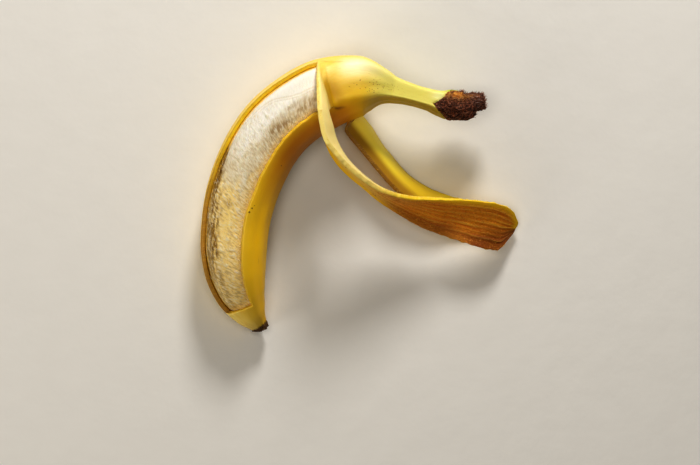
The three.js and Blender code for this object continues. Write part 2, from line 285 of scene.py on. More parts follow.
FAR_STRIP = np.array((
    (-7.6, 33.6, 18.5, -2.5, 44.0, 4.0, 2.2), (-4.2, 29.5, 17.8, 4.5, 36.0, 2.6, 2.2),
    (2.9, 21.1, 17.3, 10.0, 27.5, 2.0, 2.2), (10.3, 12.2, 16.4, 16.0, 19.5, 2.0, 2.2),
    (18.2, 3.7, 14.8, 23.5, 11.0, 2.0, 2.0), (26.6, -4.0, 12.5, 33.0, 4.5, 2.0, 1.8),
    (34.8, -11.2, 9.0, 43.0, 0.5, 2.15, 1.6), (45.5, -15.5, 5.5, 53.5, -2.5, 2.3, 1.4),
    (57.0, -17.5, 2.9, 63.0, -6.0, 2.4, 1.0), (66.5, -15.5, 2.4, 68.0, -10.5, 2.4, 0.4)))
print("stations", len(STATIONS), "steps of the strips", len(NEAR_STRIP), len(FAR_STRIP))


# %% Splines
TINY = 1e-4


def catmull(points, share):
    """Points on a centripetal Catmull-Rom spline, at shares of its count of points."""
    share = np.asarray(share, float) * (len(points) - 1)
    index = np.minimum(share.astype(int), len(points) - 2)
    part = (share - index)[..., None]
    padded = np.concatenate(([2 * points[0] - points[1]], points, [2 * points[-1] - points[-2]]))
    p0, p1, p2, p3 = (padded[index + k] for k in range(4))
    before, between, after = (np.sqrt(np.linalg.norm(far - near, axis=-1, keepdims=True))
                              for near, far in ((p0, p1), (p1, p2), (p2, p3)))
    d1 = np.where(between < TINY, 1.0, between)
    d0, d2 = (np.where(gap < TINY, d1, gap) for gap in (before, after))
    t1 = ((p1 - p0) / d0 - (p2 - p0) / (d0 + d1) + (p2 - p1) / d1) * d1
    t2 = ((p2 - p1) / d1 - (p3 - p1) / (d1 + d2) + (p3 - p2) / d2) * d1
    return p1 + t1 * part + (3 * (p2 - p1) - 2 * t1 - t2) * part**2 + (2 * (p1 - p2) + t1 + t2) * part**3


print("half way along the middle, mm:", catmull(SPINE, 0.5).round(1))


# %% Sections of the skin
def unit(vectors):
    return vectors / np.maximum(np.linalg.norm(vectors, axis=-1, keepdims=True), 1e-9)


def smooth(value, low, high):
    """0 below low, 1 above high and eased between."""
    share = np.clip((value - low) / (high - low), 0, 1)
    return share * share * (3 - 2 * share)


def plateau(value, start, risen, falling, end):
    """0 outside start and end, 1 from risen to falling and eased between."""
    return smooth(value, start, risen) * (1 - smooth(value, falling, end))


def lerp(first, second, share):
    return first + (second - first) * share


def axes_at(station):
    """Centre of the section and its directions along the fruit, inward and upward."""
    share = np.asarray(station, float) / LAST
    along = unit(catmull(SPINE, np.minimum(share + TINY, 1)) - catmull(SPINE, np.maximum(share - TINY, 0)))
    inward = unit(np.cross(along, (0.0, 0.0, 1.0)))
    return catmull(SPINE, share), along, inward, np.cross(inward, along)


def radius_at(station, degrees):
    """The skin's distance from the middle: the girth, with ridges that fade before the crown."""
    sharp = lerp(BODY_RIDGE, STALK_RIDGE, smooth(station, 13, 18)) * (1 - smooth(station, 21, 24))
    wave = np.cos(np.radians((degrees - RIDGE_START) * RIDGE_COUNT))
    return catmull(GIRTH, station / LAST)[..., 0] * (1 + sharp * (0.5 * wave + 0.5 * wave**2 - 0.25))


def on_section(station, degrees, radius):
    """Points round the sections, by an angle from the upper side toward the inside of the curve."""
    centre, _, inward, upper = axes_at(station)
    turn = np.radians(degrees)[..., None]
    return centre + (np.cos(turn) * upper + np.sin(turn) * inward) * radius[..., None]


def skin_points(station, degrees):
    """The skin, pressed flat where it would reach below the ground."""
    station, degrees = np.broadcast_arrays(station, degrees)
    points = on_section(station, degrees, radius_at(station, degrees))
    points[..., 2] = np.maximum(points[..., 2], 0)
    return points


print("top of the skin, mm:", round(float(skin_points(STATION_NUMBERS, 0.0)[:, 2].max()), 1))

# %% Sections of the hollow and the flesh
# stations over which each end is rounded off, and how far each millimetre less of depth moves it
START_ROUND, START_MOVE, END_ROUND, END_MOVE = 2.2, 0.15, 2.6, 0.12


def inner_points(station, degrees, depth):
    """The flesh, or the hollow round it, at a depth below the skin, rounded at both ends."""
    station, degrees = np.broadcast_arrays(station, degrees)
    grow = PEEL_THICKNESS + PULP_GAP - depth
    start = np.minimum((station - CAVITY_START + START_MOVE * grow) / START_ROUND, 1)
    end = np.minimum((CAVITY_END + END_MOVE * grow - station) / END_ROUND, 1)
    rounding = np.sqrt(np.maximum(start * (2 - start) * end * (2 - end), 0))
    points = on_section(station, degrees, np.maximum(radius_at(station, degrees) - depth, 0) * rounding)
    points[..., 2] = np.maximum(points[..., 2], depth)
    return points


def near_edges(station):
    """The outer and the inner edge of the near window, in degrees."""
    return (np.interp(station, NEAR_EDGES[:, 0], NEAR_EDGES[:, side]) for side in (1, 2))


print("widest near window, degrees:", max(float(far - near) for near, far in
                                          zip(*near_edges(STATION_NUMBERS))))

# %% Lengths along the middle
LENGTH_STEPS = np.linspace(0, LAST, 400)
walk = np.linalg.norm(np.diff(catmull(SPINE, LENGTH_STEPS / LAST), axis=0), axis=1)
LENGTHS = np.concatenate(([0], np.cumsum(walk)))


def length_at(station):
    """Millimetres from the blossom end, along the middle of the fruit."""
    return np.interp(station, LENGTH_STEPS, LENGTHS)


def station_at(length):
    return np.interp(length, LENGTHS, LENGTH_STEPS)


print("fruit length along its middle", round(float(LENGTHS[-1]), 1), "mm")


# %% [markdown]
# ## Noise that stays the same
# Tears, dents, bark and stains all need something uneven. A generator that deals out numbers in
# turn would change them all with one more point, so the unevenness comes from the place itself:
# each whole-numbered cell has its fixed number, and a point blends the eight numbers round it.

# %% Seeded noise on arrays
GROWN_RADIUS = 17.0


def hashed(cells, seed):
    """A fixed random number from 0 to 1 for each whole-numbered cell."""
    x, y, z = (cells[..., k].astype(np.uint32) for k in range(3))
    mixed = x * np.uint32(374761393) + y * np.uint32(668265263) + z * np.uint32(2246822519)
    mixed = mixed + np.uint32(seed * 3266489917 % 2**32)
    mixed = (mixed ^ (mixed >> np.uint32(15))) * np.uint32(2654435761)
    mixed = (mixed ^ (mixed >> np.uint32(13))) * np.uint32(1274126177)
    return (mixed ^ (mixed >> np.uint32(16))) / 2.0**32


def noise(points, cell, seed):
    """Smooth noise from -1 to 1; cell is the size of its lumps, one number or one for each axis."""
    points = points / np.asarray(cell, float)
    base = np.floor(points).astype(np.int64)
    ease = points - base
    ease = ease * ease * (3 - 2 * ease)
    total = 0
    for corner in itertools.product((0, 1), repeat=3):
        weight = np.prod(np.where(np.array(corner) == 1, ease, 1 - ease), axis=-1)
        total = total + weight * hashed(base + np.array(corner), seed)
    return 2 * total - 1


def columns(*values):
    """Points from an array, or a plain number, for each axis."""
    return np.stack(np.broadcast_arrays(*values), axis=-1).astype(float)


def grown_place(degrees, length):
    """Where a point of peel or flesh grew, on a straight fruit of one girth, in millimetres."""
    turn = np.radians(degrees)
    return columns(GROWN_RADIUS * np.cos(turn), GROWN_RADIUS * np.sin(turn), length)


print("noise at 10, 20 and 30 mm:", noise(grown_place(0.0, np.array((10.0, 20.0, 30.0))), 5.0, 1).round(2))

# %% [markdown]
# ## The peel as one torn sheet
# On the real fruit the skin, the white lining under it and the torn edge between them are one
# piece of leathery peel. So the peel is one closed shell: pairs of points, outside and inside,
# are laid in rings round the fruit and in lines along each turned back strip, and the torn edge
# is rounded off between the two layers. Every point also remembers where it grew, as its place
# on the fruit before peeling, so that streaks and ridges run on over the fold.

# %% Rows and columns of the fine peel
PANEL_COLUMNS = {"near": 40, "inner_band": 30, "far": 30, "outer_band": 46}
EDGE_CROWDING = 0.45
CAP_ROWS, WINDOW_ROWS, HINGE_ROWS, SHOULDER_ROWS, DOME_ROWS = 26, 150, 12, 14, 8
STALK_ROWS, CROWN_ROWS, CROWN_END_ROWS, CROWN_START = 46, 100, 12, 20.9
FOLD_ROWS, ROWS_PER_STEP = 18, 14
TIP_STEP = 0.03         # stations from the last ring of the hollow to its tip
RAGGED = 0.42           # how far the tear wanders from a clean line, in millimetres
TEAR_WAVES = ((0.7, 6.5), (0.3, 2.1), (0.10, 0.9))      # share and cell of each wave of a tear
TEAR_SEEDS = {"near_outer": 11, "near_inner": 21, "far_inner": 31, "far_outer": 41}


def spread(low, high, count):
    return np.linspace(low, high, count + 1)[1:]


def crowded(count):
    """Shares of a panel's width, closer together at its two edges."""
    share = np.arange(count) / count
    return share - EDGE_CROWDING * np.sin(2 * np.pi * share) / (2 * np.pi)


def tear(length, seed):
    """How far a torn edge wanders at each length along the fruit, in millimetres."""
    spots = columns(length, 0, 0)
    return RAGGED * sum(share * noise(spots, cell, seed + number)
                        for number, (share, cell) in enumerate(TEAR_WAVES))


def column_angles(station):
    """Angles round each section, panel by panel, with the four torn edges wandering."""
    lengths, girth = length_at(station), catmull(GIRTH, station / LAST)[:, 0]
    torn = plateau(station, WINDOW_START - 0.3, WINDOW_START + 0.2, NEAR_HINGE - 0.2, NEAR_HINGE + 0.6)
    wander = [np.degrees(tear(lengths, seed) / girth) * torn for seed in TEAR_SEEDS.values()]
    edges = [edge + aside for edge, aside in zip((*near_edges(station), FAR_INNER, FAR_OUTER), wander)]
    edges.append(edges[0] + 360)
    return np.concatenate([lerp(low[:, None], high[:, None], crowded(count)) for low, high, count in
                           zip(edges[:-1], edges[1:], PANEL_COLUMNS.values())], axis=1)


body_stations = np.concatenate((spread(WINDOW_START, NEAR_HINGE, WINDOW_ROWS),
                                spread(NEAR_HINGE, FAR_HINGE, HINGE_ROWS),
                                spread(FAR_HINGE, DOME_START, SHOULDER_ROWS)))
print("rows of the body", len(body_stations), "columns", sum(PANEL_COLUMNS.values()))


# %% Rings of quads
def ring_quads(rings, closed=True):
    """Quads between the rows of an array of point numbers; closed joins the last column to the first."""
    nexts = np.roll(rings, -1, axis=1) if closed else rings[:, 1:]
    firsts = rings if closed else rings[:, :-1]
    return np.stack((firsts[:-1], nexts[:-1], nexts[1:], firsts[1:]), axis=-1)


def fan(tip, ring, at_start):
    """Triangles between one point and a ring of points."""
    after = np.roll(ring, -1)
    tips = np.full_like(ring, tip)
    return np.stack((tips, after, ring) if at_start else (ring, after, tips), axis=-1)


class Pairs:
    """Points in pairs, outside and inside, with the place where each pair grew."""

    def __init__(self):
        self.outer, self.inner, self.grown, self.kind = [], [], [], []
        self.count = 0

    def add(self, outer, inner, angle, length, kind):
        shape = outer.shape[:-1]
        grown = np.broadcast_to(grown_place(angle, length), outer.shape)
        for kept, values in ((self.outer, outer), (self.inner, inner), (self.grown, grown)):
            kept.append(values.reshape(-1, 3))
        number = int(np.prod(shape)) if shape else 1
        self.kind.append(np.full(number, kind))
        self.count += number
        return np.arange(self.count - number, self.count).reshape(shape)

    def arrays(self):
        return tuple(np.concatenate(kept) for kept in (self.outer, self.inner, self.grown, self.kind))


# the kinds of pairs: the body, the two strips, and the stalk and the inner dome past the hinges
BODY, NEAR, FAR, STALK, DOME = range(5)
print("kinds of peel", DOME + 1)

# %% Strips turned back
SOFTEN_PASSES, SOFTEN_ROWS = 60, 10.0


def strip_section(steps, normals, across, depth):
    """Points of a strip, step by step, at shares across it."""
    a, b, bulge = steps[:, None, :3], steps[:, None, 3:6], steps[:, None, 6:]
    share = across[None, :, None]
    return lerp(a, b, share) + normals[:, None] * (bulge * 4 * share * (1 - share) - depth)


def strip_normals(steps):
    middles = (steps[:, :3] + steps[:, 3:6]) / 2
    ahead = np.concatenate((middles[1:], middles[-1:])) - np.concatenate((middles[:1], middles[:-1]))
    return unit(np.cross(ahead, steps[:, 3:6] - steps[:, :3]))


def strip_lines(steps, hinge_points, leave, across, depth):
    """Lines that leave the skin, fold over and run to the end of the strip."""
    points = strip_section(steps, strip_normals(steps), across, depth)
    away = leave * (np.linalg.norm(hinge_points - points[0], axis=-1, keepdims=True) + depth)
    arrive = (points[1] - hinge_points) * 0.5
    t = spread(0, 1, FOLD_ROWS)[:, None, None]
    # a Hermite curve, from the skin at the hinge to the first step of the strip
    fold = (hinge_points * ((2 * t - 3) * t * t + 1) + away * (((t - 2) * t + 1) * t)
            + points[0] * ((3 - 2 * t) * t * t) + arrive * ((t - 1) * t * t))
    shares = spread(0, 1, (len(points) - 1) * ROWS_PER_STEP)
    rest = np.stack([catmull(points[:, k], shares) for k in range(points.shape[1])], axis=1)
    lines = np.concatenate((hinge_points[None], fold, rest))
    near_fold = np.exp(-((np.arange(len(lines))[:, None, None] - FOLD_ROWS) / SOFTEN_ROWS) ** 2)
    for _ in range(SOFTEN_PASSES):
        blended = lines.copy()
        blended[1:-1] = 0.25 * lines[:-2] + 0.5 * lines[1:-1] + 0.25 * lines[2:]
        lines = lerp(lines, blended, near_fold)
    return lines


print("rows of the near strip", FOLD_ROWS + (len(NEAR_STRIP) - 1) * ROWS_PER_STEP)

# %% Lay one strip
END_ROUNDING = 9.0      # length over which the free end of a strip is rounded off
END_WIDTH = 0.25        # share of its width that is left at the very end
NEAR_ROW, FAR_ROW = CAP_ROWS + WINDOW_ROWS - 1, CAP_ROWS + WINDOW_ROWS + HINGE_ROWS - 1
FAR_COLUMN = PANEL_COLUMNS["near"] + PANEL_COLUMNS["inner_band"]
STRIPS = ((NEAR, NEAR_STRIP, NEAR_ROW, 0, PANEL_COLUMNS["near"], ("near_outer", "near_inner")),
          (FAR, FAR_STRIP, FAR_ROW, FAR_COLUMN, PANEL_COLUMNS["far"], ("far_inner", "far_outer")))


def lay_strip(pairs, station, hinge, hinge_angles, kind, steps, tears):
    """Add the pairs of a strip that folds back at a row of the body; returns its quads."""
    outer, inner = np.concatenate(pairs.outer)[hinge], np.concatenate(pairs.inner)[hinge]
    centre, along, _, _ = axes_at(station)
    leave = unit(FOLD_LIFT * unit(outer - centre) - along)
    middle = (len(hinge) - 1) // 2
    across = np.append(crowded(len(hinge) - 1), 1.0)
    lines = strip_lines(steps, outer, leave, across, 0.0)[1:]
    lining = strip_lines(steps, inner, leave, across, PEEL_THICKNESS)[1:]
    middle_line = np.concatenate((outer[None, middle], lines[:, middle]))
    travel = np.cumsum(np.linalg.norm(np.diff(middle_line, axis=0), axis=1))
    lengths = length_at(station) - travel
    width = np.linalg.norm(lines[:, -1] - lines[:, 0], axis=1).max()

    ragged = [tear(lengths, TEAR_SEEDS[name]) * smooth(travel, 0, 6) for name in tears]
    sideways = unit(lines[:, -1] - lines[:, 0])[:, None]
    to_edge = np.abs(2 * across - 1)[None, :, None]
    shift = sideways * lerp(ragged[0][:, None], ragged[1][:, None], across)[..., None] * to_edge
    left = np.clip((travel[-1] - travel) / END_ROUNDING, 0, 1)
    narrowing = lerp(END_WIDTH, 1.0, np.sqrt(left * (2 - left)))[:, None, None]
    lines, lining = (lerp(layer[:, middle, None], layer, narrowing)
                     for layer in (lines + shift, lining + shift))
    angles = lerp(hinge_angles[0], hinge_angles[1], across)
    numbers = pairs.add(lines, lining, angles, lengths[:, None], kind)
    print("strip", tears[0][:4], "length", round(float(travel[-1])), "mm, widest", round(float(width)), "mm")
    return ring_quads(np.concatenate((hinge[None], numbers)), closed=False)[..., ::-1].reshape(-1, 4)


# %% Lay the stalk and the dome
def lay_stalk(pairs, end_ring):
    """The skin from the shoulder over the stalk to the crown's flat end; returns its quads and tip."""
    stations = np.concatenate((spread(DOME_START, CROWN_START, STALK_ROWS),
                               spread(CROWN_START, LAST, CROWN_ROWS), np.full(CROWN_END_ROWS, float(LAST))))
    angles = column_angles(stations)
    points = skin_points(stations[:, None], angles)
    end_shares = spread(0, 1, CROWN_END_ROWS + 1)[:-1, None, None]
    points[-CROWN_END_ROWS:] = lerp(points[-CROWN_END_ROWS:], catmull(SPINE, 1.0), end_shares)
    rings = pairs.add(points, points, angles, length_at(stations)[:, None], STALK)
    tip = pairs.add(catmull(SPINE, 1.0), catmull(SPINE, 1.0), 0.0, LENGTHS[-1], STALK)
    return ring_quads(np.concatenate((end_ring[None], rings))).reshape(-1, 4), fan(tip, rings[-1], False)


def lay_dome(pairs, end_ring):
    """The blunt end of the room inside the peel; returns its quads and tip."""
    stations = spread(DOME_START, CAVITY_END + TIP_STEP, DOME_ROWS)
    angles = column_angles(stations[:-1])
    points = inner_points(stations[:-1, None], angles, PEEL_THICKNESS)
    rings = pairs.add(points, points, angles, length_at(stations[:-1])[:, None], DOME)
    centre = catmull(SPINE, stations[-1] / LAST)
    tip = pairs.add(centre, centre, 0.0, float(length_at(stations[-1])), DOME)
    return ring_quads(np.concatenate((end_ring[None], rings))).reshape(-1, 4), fan(tip, rings[-1], False)


print("rows of the stalk and crown", STALK_ROWS + CROWN_ROWS + CROWN_END_ROWS, "and of the dome", DOME_ROWS)


# %% Lay the pairs of the peel
def lay_peel():
    pairs = Pairs()
    skin_stations = np.concatenate((spread(0, WINDOW_START, CAP_ROWS), body_stations))
    first_cavity = CAVITY_START - TIP_STEP
    cap_shares = np.arange(1, CAP_ROWS + 1) / CAP_ROWS
    inner_stations = np.concatenate((lerp(first_cavity, WINDOW_START, cap_shares), body_stations))
    start = pairs.add(catmull(SPINE, 0.0), catmull(SPINE, first_cavity / LAST), 0.0, 0.0, BODY)
    angles = column_angles(skin_stations)
    rings = pairs.add(skin_points(skin_stations[:, None], angles),
                      inner_points(inner_stations[:, None], angles, PEEL_THICKNESS),
                      angles, length_at(skin_stations)[:, None], BODY)
    quads = ring_quads(rings)
    closed = np.ones(quads.shape[:2], bool)
    for _, _, row, first, count, _ in STRIPS:
        closed[CAP_ROWS - 1:row, first:first + count] = False
    sheet = [quads[closed]]
    for kind, steps, row, first, count, tears in STRIPS:
        hinge_angles = angles[row, first], angles[row, first + count]
        sheet.append(lay_strip(pairs, skin_stations[row], rings[row, first:first + count + 1],
                               hinge_angles, kind, steps, tears))
    caps = {"start": fan(start, rings[0], True)}
    caps["stalk"], caps["stalk_tip"] = lay_stalk(pairs, rings[-1])
    caps["dome"], caps["dome_tip"] = lay_dome(pairs, rings[-1])
    return pairs, np.concatenate(sheet), caps


pairs, sheet, caps = lay_peel()
outer, inner, grown, kind = pairs.arrays()
print("peel pairs", len(outer), "sheet quads", len(sheet))

# %% [markdown]
# ## Normals and the torn rim
# Every relief below is a move along the surface's own normal, so the normals come first. The rim
# is found from the quads: an edge that no second face shares is a torn one.


# %% Normals
def vertex_normals(points, faces):
    """The sum of the normals of the faces round each point, larger faces counting for more."""
    corners = points[faces]
    if faces.shape[1] == 4:
        flat = np.cross(corners[:, 2] - corners[:, 0], corners[:, 3] - corners[:, 1])
    else:
        flat = np.cross(corners[:, 1] - corners[:, 0], corners[:, 2] - corners[:, 0])
    total = np.zeros_like(points)
    for corner in range(faces.shape[1]):
        np.add.at(total, faces[:, corner], flat)
    return total


SKIN_GROUPS = (np.concatenate((sheet, caps["stalk"])), caps["start"], caps["stalk_tip"])
LINING_GROUPS = (np.concatenate((sheet, caps["dome"])), caps["start"], caps["dome_tip"])


def layer_normals(points, groups):
    quads, *fans = groups
    return unit(vertex_normals(points, quads) + vertex_normals(points, np.concatenate(fans)))


def edges_of(faces):
    """Each face's edges as pairs of point numbers, in the direction of the face."""
    count = faces.shape[1]
    return [faces[:, [k, (k + 1) % count]] for k in range(count)]


skin_quads = SKIN_GROUPS[0]
skin_normals, lining_normals = layer_normals(outer, SKIN_GROUPS), -layer_normals(inner, LINING_GROUPS)
directed = np.concatenate([edge for group in SKIN_GROUPS for edge in edges_of(group)])
codes = directed[:, 0].astype(np.int64) * len(outer) + directed[:, 1]
mirrored = directed[:, 1].astype(np.int64) * len(outer) + directed[:, 0]
rim_edges = directed[~np.isin(codes, mirrored)]
rim_points = np.unique(rim_edges)
print("torn edge", len(rim_edges), "edges")

# %% Distance from the rim, and where each point grew
tree = KDTree(len(rim_points))
for number, point in enumerate(outer[rim_points]):
    tree.insert(point, number)
tree.balance()
rim_distance = np.array([tree.find(point)[2] for point in outer])

grown_angle = np.degrees(np.arctan2(grown[:, 1], grown[:, 0]))
grown_length = grown[:, 2]
grown_station = station_at(grown_length)
on_body, on_near, on_far = kind == BODY, kind == NEAR, kind == FAR
hinge_length = float(length_at(NEAR_HINGE))
from_fold = hinge_length - grown_length     # how far along a strip, or below the near hinge
print("farthest from the rim", round(float(rim_distance.max())), "mm")

# %% [markdown]
# Where a strip folds back, thick peel can't crease sharply: on the outer side the valley fills up
# and runs smoothly into the shoulder. A few passes that pull each point toward the middle of its
# neighbours do the same here, strongest at the upper corner of the fold.

# %% Soften the valley of the near fold
VALLEY_PASSES, VALLEY_REACH, VALLEY_PULL, LEAST_PULL = 70, 5.5, 0.5, 0.02

corner_side = 1 - smooth(grown_angle, -50, 5)
valley = np.exp(-(from_fold / VALLEY_REACH) ** 2) * (0.15 + 0.8 * corner_side) * (on_body | on_near)
valley = valley * smooth(rim_distance, 0.3, 2.2) * (grown_angle > -75) * (grown_angle < 35)
links = np.concatenate(edges_of(skin_quads))
moving = (valley > LEAST_PULL) & np.isin(np.arange(len(outer)), links[:, 0])
links = links[moving[links[:, 0]]]
link_count = np.maximum(np.bincount(links[:, 0], minlength=len(outer)), 1)[:, None]
pull = (VALLEY_PULL * valley * moving)[:, None]
before = outer
for _ in range(VALLEY_PASSES):
    total = [np.bincount(links[:, 0], outer[links[:, 1], axis], len(outer)) for axis in range(3)]
    outer = lerp(outer, np.stack(total, axis=1) / link_count, pull)
print("fold softened by up to", round(float(np.linalg.norm(outer - before, axis=1).max()), 2), "mm")
skin_normals = layer_normals(outer, SKIN_GROUPS)

# %% [markdown]
# ## Marks on the skin
# Ripe peel has a map of its own: gold on the inside of the curve, green on the stalk, a dark nub,
# and brown where it was torn or handled, which on the lining is partly painted shade. Other marks
# are painted light and shade: paler skin where the fold faces the lamp, a painted highlight on the
# shoulder, and painted shade in the hollow by the fold, on the side turned from the lamp and over
# the far strip. Each mark is a value from 0 to 1 at every point, laid out by the length in mm from
# the blossom end and by the angle in degrees round the fruit from its upper side. Painted on the
# points, the marks follow the peel over its folds and feed both the relief and the colours.

# %% Marks by length and angle
CROWN_EDGE = ((-180, 22.9), (-120, 23.4), (-90, 23.5), (-71.5, 22.7), (15.5, 21.3), (78.5, 22.7),
              (120, 23.0), (180, 22.9))     # angle, station
# length and angle along the tears that run on into the shoulder
OUTER_TEAR = ((0, 0), (hinge_length, -60), (149, -54), (154, -49.5), (160, -48.5), (230, -46))
INNER_TEAR = ((0, 31), (hinge_length - 1, 32), (hinge_length + 1.5, 37), (152, 39), (230, 39))
RUST_PLACE, NECK_PLACE = (float(length_at(23.5)), -50), (float(length_at(21.6)), -28)
girth_at = catmull(GIRTH, grown_station / LAST)[:, 0]
sheet_place = columns(np.radians(grown_angle) * GROWN_RADIUS, grown_length, 0)


def blot(place, middle, length, width, lean=0.0):
    """A soft spot of 1 in its middle, on the unrolled surface; sizes in mm, lean in degrees."""
    away = place[..., :2] - np.array((math.radians(middle[1]) * GROWN_RADIUS, middle[0]))
    tilt = math.radians(lean)
    across = away[..., 0] * math.cos(tilt) + away[..., 1] * math.sin(tilt)
    along = away[..., 1] * math.cos(tilt) - away[..., 0] * math.sin(tilt)
    return np.exp(-(across / width) ** 2 - (along / length) ** 2)


def tear_line(line, reach, width):
    """A thin line that runs on from a corner of the near window, as far as its reach."""
    aside = np.radians(grown_angle - np.interp(grown_length, *np.array(line, float).T)) * girth_at
    return np.exp(-(aside / width) ** 2) * plateau(-from_fold, -0.8, 0.4, 2, reach) * on_body


ragged = 0.5 * noise(grown, 2.4, 51) + 0.35 * noise(grown, 0.8, 52)
past_crown = grown_length - length_at(np.interp(grown_angle, *np.array(CROWN_EDGE).T))
past_ragged_crown = past_crown + ragged
crown_share = smooth(past_ragged_crown, -0.3, 0.3)
outer_tear, inner_tear = tear_line(OUTER_TEAR, 17, 0.32), tear_line(INNER_TEAR, 7.0, 0.9)
# a dent in the skin beside the fold, which the hollow mark also darkens with painted shade
fold_hollow = blot(sheet_place, (hinge_length + 0.4, 3), 4.6, 9.0, 13) * on_body
blossom_end = 1 - smooth(grown_length + 0.7 * ragged, 2.6, 4.2)
golden = plateau(grown_angle, 18, 48, 150, 175) * (1 - smooth(grown_length, 165, 180))
golden = golden * np.where(on_far, 0.2, 1)
# paler peel near the fold of the near strip: partly fresh peel and partly painted light, lifting the strip
# where it faces the lamp or lies in its own shade
fresh = (1 - smooth(from_fold, 60, 92)) * on_near
rusty = blot(sheet_place, RUST_PLACE, 9.0, 6.5)
print("crown from", round(float(grown_length[crown_share > 0.5].min())), "mm on")


# %% Marks for the finishes
def clipped(values):
    return np.clip(values, 0, 1)


marks = {
    "golden": golden,
    # painted shade: the middle of the inner band is darkened to a deep gold, where that side lies in shade
    "deep": golden * plateau(grown_length, 64, 108, 148, 166),
    # painted light: the skin of the near strip is paler just past the fold, where it faces the lamp
    "folded": fresh * smooth(from_fold, 3, 10),
    "fresh": fresh + on_body * smooth(-from_fold, -6, -2) * (1 - smooth(abs(grown_angle + 14), 44, 50)),
    # painted shade: darker gold in the hollow beside the near fold and on the strip just past it
    "hollow": clipped(fold_hollow + on_near * (1 - smooth(from_fold, 4, 9)) * smooth(grown_angle, -34, -14)),
    # painted shade: deeper gold on the side of the body and stalk turned from the lamp, and over the far
    # strip
    "warm": np.where(on_far, 0.9, smooth(grown_angle, -42, 20) * np.isin(kind, (BODY, STALK))
                     * (1 - smooth(grown_length, 158, 180))),
    # painted shade: the far strip is darkened, as it lies in the body's shade
    "far": on_far,
    # painted shade: the far strip near its fold, on the side toward the body, is darkened where the body's
    # shadow falls
    "root": on_far * (1 - smooth(from_fold, 40, 75)) * (1 - smooth(grown_angle, 106, 124)),
    # painted light: the outer side of the far strip near its fold is made paler, lifting it out of the body's
    # shadow
    "pale_root": on_far * (1 - smooth(from_fold, 14, 44)) * smooth(grown_angle, 106, 126),
    # painted highlight: a pale patch on the shoulder and one on the top of the stalk before the crown
    "bleached": (blot(sheet_place, (161, -41), 12, 6.5) * smooth(grown_length, 149, 157)
                 + blot(sheet_place, NECK_PLACE, 3.5, 6.0)),
    # one side and the free end of the near strip's lining are darkened: partly browned peel and partly
    # painted shade where the strip turns from the lamp
    "scorched": on_near * clipped(0.7 * smooth(grown_angle, -4, 16) * smooth(from_fold, 62, 92)
                                  + 0.8 * smooth(grown_angle, -26, -6) * smooth(from_fold, 118, 138)),
    # the far half of the near strip's lining turns brown: partly browned peel and partly painted shade, as
    # that lining lies at a grazing light
    "browned": smooth(from_fold, 55, 95) * on_near,
    "shaded": plateau(grown_angle, 26, 40, 100, 130) * smooth(grown_length, 150, 170) * (1 - crown_share),
    "green": smooth(grown_length, 158, 176),
    "leafy": (np.exp(-((past_crown + 1.0) / 2.2) ** 2)
              * (smooth(-grown_angle, 50, 80) * (grown_angle > -150) + 0.12)),
    "speckle": clipped(blot(sheet_place, (167, 4), 9, 6) + 0.35 * blot(sheet_place, (178, -10), 9, 7)
                       + 0.25 * noise(grown, 9, 53)),
    "blossom": clipped(blossom_end + 0.25 * (1 - smooth(grown_length + 1.5 * ragged, 4, 12))),
    "seam": clipped(0.45 * outer_tear + inner_tear),
    "aged": on_body * (1 - smooth(grown_length, 60, 98)) * (grown_angle < -60) * (grown_angle > -100),
    "rusty": rusty,
    "greyed": smooth(grown_station, 24.6, 25.4) * (1 - smooth(abs(grown_angle + 15), 40, 80)),
    "body": on_body}
print("marks", len(marks))

# %% [markdown]
# ## Relief of the skin and the lining
# Ripe peel isn't a perfect tube: it has shallow lengthwise flats, soft dents and a hollow beside
# the fold, and the tears run a little way on past the strips. The bark of the crown is coarse and
# crumbly. The lining of a strip shows a row of long ribs, where the strings lay.


# %% Relief of the skin
def waves(place, *layers):
    """A sum of noises; each layer is its height, its cell and its seed."""
    return sum(height * noise(place, cell, seed) for height, cell, seed in layers)


skin_relief = waves(grown, (0.26, (9, 9, 26), 3), (0.12, (4.5, 4.5, 12), 4), (0.05, (2.0, 2.0, 7.0), 5))
skin_relief -= 0.15
skin_relief *= smooth(rim_distance, 0.2, 3.0) * (1 - crown_share) * np.clip(girth_at / 15, 0.15, 1) ** 1.5
skin_relief -= 1.2 * fold_hollow + 0.22 * outer_tear + 0.28 * inner_tear

# the upper side of the stalk is one broad face, round at the back and flat beside the front ridge
ridge_top = 1 + 0.75 * STALK_RIDGE
half_face = math.radians(180 / RIDGE_COUNT)
flat_radius = ridge_top * math.cos(half_face) / np.cos(np.radians(np.clip(grown_angle, -45, 26) + 10))
face_radius = girth_at * lerp(1.0, flat_radius, smooth(grown_angle, -85, -20))
on_face = smooth(grown_angle, -118, -100) * (grown_angle < 26) * plateau(grown_station, 16.3, 18, 20.5, 22.5)
skin_relief += on_face * (face_radius - radius_at(grown_station, grown_angle))
skin_relief -= blossom_end * (0.25 + waves(grown, (0.5, (1.2, 1.2, 2.0), 58)) + waves(outer, (0.3, 0.7, 59)))
bark = waves(grown, (0.60, (2.6, 2.6, 3.4), 54), (0.40, (1.1, 1.1, 1.6), 55), (0.22, (0.5, 0.5, 0.9), 56))
bark += waves(outer, (0.5, 1.0, 57)) * (grown_station > 25.6)
skin_relief += crown_share * (bark - 0.35) - 0.35 * np.exp(-(past_ragged_crown / 0.5) ** 2)
print("skin relief, mm", round(float(skin_relief.min()), 2), "to", round(float(skin_relief.max()), 2))

